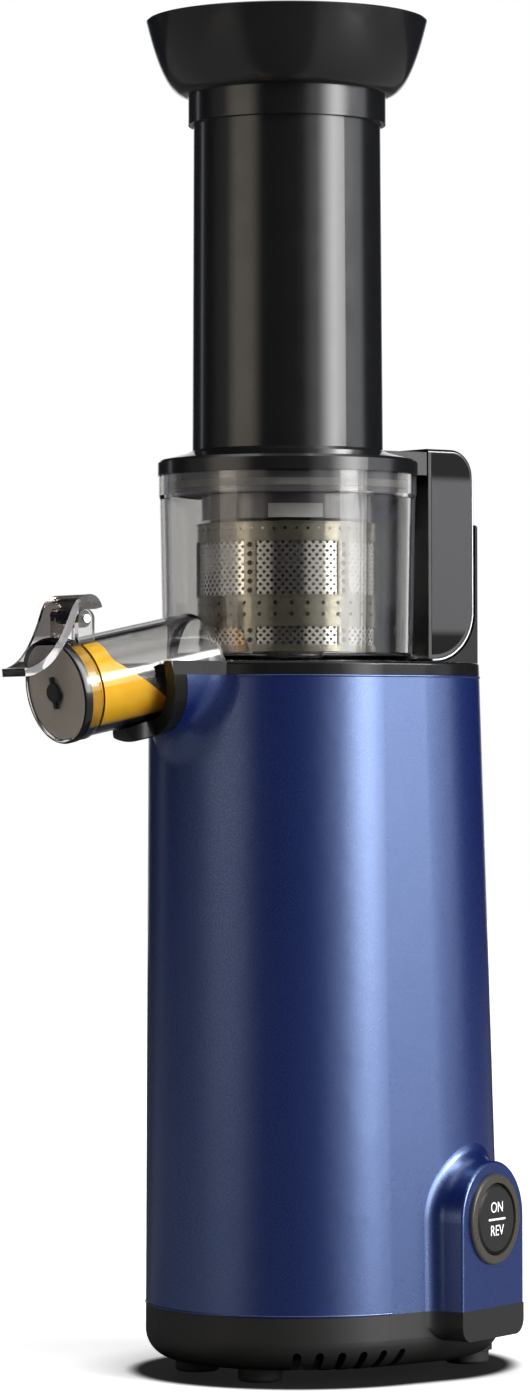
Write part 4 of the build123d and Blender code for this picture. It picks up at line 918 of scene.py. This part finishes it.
view = {
    "direction": (0.8, -0.6), "distance": 1.46, "height": 0.182, "aimHeight": 0.199,
    "aimLeft": 0.0069, "lens": 127.2, "sensor": 36.0, "near": 0.05, "roll": math.radians(-0.13),
}
right = np.array([0.6, 0.8, 0.0])
towards = np.array([*view["direction"], 0.0])


def turnTo(direction):
    # Angles that point a camera or a lamp in a direction
    return Vector(direction).to_track_quat("-Z", "Y").to_euler()


def makeCamera():
    camera = bpy.data.cameras.new("camera")
    camera.sensor_fit = "VERTICAL"
    camera.sensor_height = view["sensor"]
    camera.lens = view["lens"]
    camera.clip_start = view["near"]
    carrier = bpy.data.objects.new("camera", camera)
    bpy.context.scene.collection.objects.link(carrier)
    shift = -right * view["aimLeft"]
    place = towards * view["distance"] + shift + [0, 0, view["height"]]
    aim = shift + [0, 0, view["aimHeight"]]
    carrier.rotation_euler = turnTo(aim - place)
    carrier.rotation_euler.rotate_axis("Z", view["roll"])
    carrier.location = place
    bpy.context.scene.camera = carrier


floorSize = 6.0
contact = {
    # Front and rear centre of the base's outline, its radius, and the shadow's soft margin
    "front": 3.0, "rear": 22.0, "radius": 45.0, "inner": 1.5, "outer": 7.5,
    "reach": 0.03,                     # of the occlusion, in metres
    "glow": (0.6, 0.012),              # emission the camera sees: times the openness, plus
}
# What gloss sees of the floor: start and end of a zone's edge, as the share of the direction
# to the camera's right, and its reflectance
floorMirror = ((-0.55, -0.72, 0.13), (0.36, 0.5, 0.15))
floorMirrorBase = 0.05


def makeFloor():
    # White sweep that keeps the contact shadow: dark within the distance d of the base's
    # outline, d = |p - nearest point of the segment between its two centres| - radius
    material, tree, out = newMaterial("paperSweep")
    path = addNode(tree, "ShaderNodeLightPath")
    tone = blend(tree, objectNoise(tree, grain=2.0), toLinear("#f1f1f1"), toLinear("#f7f7f7"))
    near = addNode(tree, "ShaderNodeAmbientOcclusion", {"samples": 16},
                   {"Distance": contact["reach"]})
    place = objectPlace(tree)
    nearest = vectorMath(tree, "MAXIMUM", {0: place, 1: (0.0, contact["front"] * mm, 0.0)})
    nearest = vectorMath(tree, "MINIMUM", {0: nearest, 1: (0.0, contact["rear"] * mm, 0.0)})
    nearest = vectorMath(tree, "MULTIPLY", {0: nearest, 1: (0.0, 1.0, 0.0)})
    distance = vectorMath(tree, "DISTANCE", {0: place, 1: nearest}, "Value")
    clearOf = smoothStep(tree, distance, (contact["radius"] + contact["inner"]) * mm,
                         (contact["radius"] + contact["outer"]) * mm)
    openness = calculate(tree, "MULTIPLY", near.outputs["AO"], clearOf)
    glow = calculate(tree, "MULTIPLY_ADD", openness, *contact["glow"])
    glow = calculate(tree, "MULTIPLY", glow, path.outputs["Is Camera Ray"])
    side = dot(tree, vectorMath(tree, "NORMALIZE", {0: place}), right)
    level = floorMirrorBase
    for start, end, mirror in floorMirror:
        level = calculate(tree, "ADD", level, smoothStep(tree, side, start, end, mirror))
    grey = addNode(tree, "ShaderNodeCombineColor", None,
                   {"Red": level, "Green": level, "Blue": level})
    dimmed = blend(tree, path.outputs["Is Glossy Ray"], tone, grey.outputs["Color"])
    shader = principled(tree, {
        "Base Color": vectorMath(tree, "SCALE", {0: dimmed, "Scale": openness}),
        "Roughness": 0.9, "Specular IOR Level": 0.1, "Emission Color": (1, 1, 1, 1),
        "Emission Strength": glow,
    })
    half = floorSize / 2 / mm
    corners = [(-half, -half, 0), (half, -half, 0), (half, half, 0), (-half, half, 0)]
    floor = meshPiece("floor", corners, [[0, 1, 2, 3]], finished(material, tree, out, shader))


lamps = {
    # Angle to the right of the camera, distance, width, height, middle height, power, colour.
    # They light matt surfaces and cast the shadow; gloss shows the soft boxes of the world
    "keyPanel": (58, 1.3, 0.42, 1.5, 0.35, 16.0, "#ffffff"),
    "fillPanel": (-57, 1.3, 0.4, 1.5, 0.35, 5.0, "#fff3e4"),
    "topPanel": (20, 0.9, 0.9, 0.9, 1.6, 9.0, "#ffffff"),
}
lampAim = (0, 0, 0.2)

softBoxes = {
    # Azimuths from the camera to the right in degrees, edge softness, lowest and highest
    # vertical share of the direction, strength, colour
    "key": (47, 70, 12, -0.2, 0.9, 7.0, "#ffffff"),
    "keyLeft": (24, 47, 8, -0.2, 0.9, 0.6, "#ffffff"),
    "keyHigh": (62, 84, 6, 0.27, 0.38, 40.0, "#ffffff"),
    "keyShoulder": (80, 104, 6, -0.2, 0.5, 1.1, "#f4f7ff"),
    "fill": (-72, -38, 10, 0.0, 0.2, 1.2, "#fff3e4"),
    "fillShoulder": (-98, -70, 12, 0.0, 0.2, 0.16, "#ffffff"),
    "rim": (-131, -125, 3, 0.0, 0.3, 0.5, "#ffffff"),
    "lowLeft": (-112, -52, 3, -0.95, -0.33, 0.45, "#fff6ec"),
    "lowRight": (30, 112, 3, -0.95, -0.33, 0.75, "#ffffff"),
    "top": (-180, 180, 1, 0.86, 1.4, 1.1, "#ffffff"),
}
throughGlass = {
    # The same values for rays that have passed the bowl's wall: the pale haze inside it, and
    # a negative one that takes from the key there
    "keyDimmed": (47, 70, 12, -0.2, 0.9, -5.4, "#ffffff"),
    "left": (-64, -21, 3, -0.4, 0.9, 0.75, "#fffcf4"),
    "right": (21, 60, 3, -0.4, 0.9, 0.5, "#ffffff"),
    "farLeft": (-150, -70, 10, -0.4, 0.9, 0.35, "#f6f4ff"),
    "farRight": (60, 120, 10, -0.4, 0.9, 0.35, "#f6f4ff"),
    "edgeRight": (122, 150, 4, -0.4, 0.9, 1.5, "#ffffff"),
}
uprightSoft = 0.1                      # edge softness of the vertical share
glassDepth = 1.5                       # a ray past this many transmissions is inside the bowl
backdrop = {
    # Share of the direction away from the camera where gloss and glass start to see the white
    # backdrop, and where they see it whole
    "mirrored": (-0.95, -0.985), "refracted": (-0.86, -0.92),
}
ground = {"dark": (0.016, 0.018, 0.024, 1), "diffuse": (0.3, 0.3, 0.31, 1)}


def makeLamps():
    for name, (angle, distance, width, tall, height, power, hexCode) in lamps.items():
        lamp = bpy.data.lights.new(name, "AREA")
        lamp.shape = "RECTANGLE"
        lamp.size = width
        lamp.size_y = tall
        lamp.energy = power
        lamp.color = toLinear(hexCode)[:3]
        carrier = bpy.data.objects.new(name, lamp)
        bpy.context.scene.collection.objects.link(carrier)
        carrier.visible_glossy = False
        turn = math.radians(angle)
        direction = towards * math.cos(turn) + right * math.sin(turn)
        place = direction * distance + [0, 0, height]
        carrier.location = place
        carrier.rotation_euler = turnTo(Vector(lampAim) - Vector(place))


def window(tree, value, first, last, soft):
    # 1 between two edges, each a smooth step that reaches soft to either side
    return calculate(tree, "MULTIPLY", smoothStep(tree, value, first - soft, first + soft),
                     smoothStep(tree, value, last + soft, last - soft))


def boxLight(tree, boxes, azimuth, upward):
    # Sum of the boxes: strength = window(azimuth) window(vertical share)
    colour = (0.0, 0.0, 0.0)
    for first, last, soft, low, high, strength, hexCode in boxes.values():
        across = window(tree, azimuth, *(math.radians(angle) for angle in (first, last, soft)))
        upright = window(tree, upward, low, high, uprightSoft)
        level = calculate(tree, "MULTIPLY", calculate(tree, "MULTIPLY", across, upright), strength)
        tinted = vectorMath(tree, "SCALE", {0: toLinear(hexCode)[:3], "Scale": level})
        colour = vectorMath(tree, "ADD", {0: colour, 1: tinted})
    return colour


def makeWorld():
    # Soft boxes on a dim ground, and a white backdrop behind the object
    world = bpy.data.worlds.new("studio")
    bpy.context.scene.world = world
    world.use_nodes = True
    tree = world.node_tree
    tree.nodes.clear()
    place = addNode(tree, "ShaderNodeTexCoord").outputs["Generated"]
    depth, across, upward = (dot(tree, place, axis) for axis in (towards, right, (0.0, 0.0, 1.0)))
    azimuth = calculate(tree, "ARCTAN2", across, depth)
    path = addNode(tree, "ShaderNodeLightPath").outputs
    inside = calculate(tree, "GREATER_THAN", path["Transmission Depth"], glassDepth)
    haze = vectorMath(tree, "SCALE", {0: boxLight(tree, throughGlass, azimuth, upward),
                                      "Scale": inside})
    colour = vectorMath(tree, "ADD", {0: boxLight(tree, softBoxes, azimuth, upward), 1: haze})
    studio = vectorMath(tree, "ADD", {
        0: blend(tree, path["Is Diffuse Ray"], ground["dark"], ground["diffuse"]),
        1: blend(tree, path["Is Diffuse Ray"], colour, (0, 0, 0, 1)),
    })
    mirrored, refracted = (
        calculate(tree, "MULTIPLY", smoothStep(tree, depth, *backdrop[key]), path[ray])
        for key, ray in (("mirrored", "Is Glossy Ray"), ("refracted", "Is Transmission Ray")))
    white = calculate(tree, "MAXIMUM", path["Is Camera Ray"],
                      calculate(tree, "MAXIMUM", mirrored, refracted))
    seen = blend(tree, white, studio, (1, 1, 1, 1))
    background = addNode(tree, "ShaderNodeBackground", None, {"Color": seen})
    out = addNode(tree, "ShaderNodeOutputWorld")
    tree.links.new(background.outputs["Background"], out.inputs["Surface"])


print("stage")
makeCamera()
makeFloor()
makeLamps()
makeWorld()
bpy.context.scene.view_settings.view_transform = "Standard"
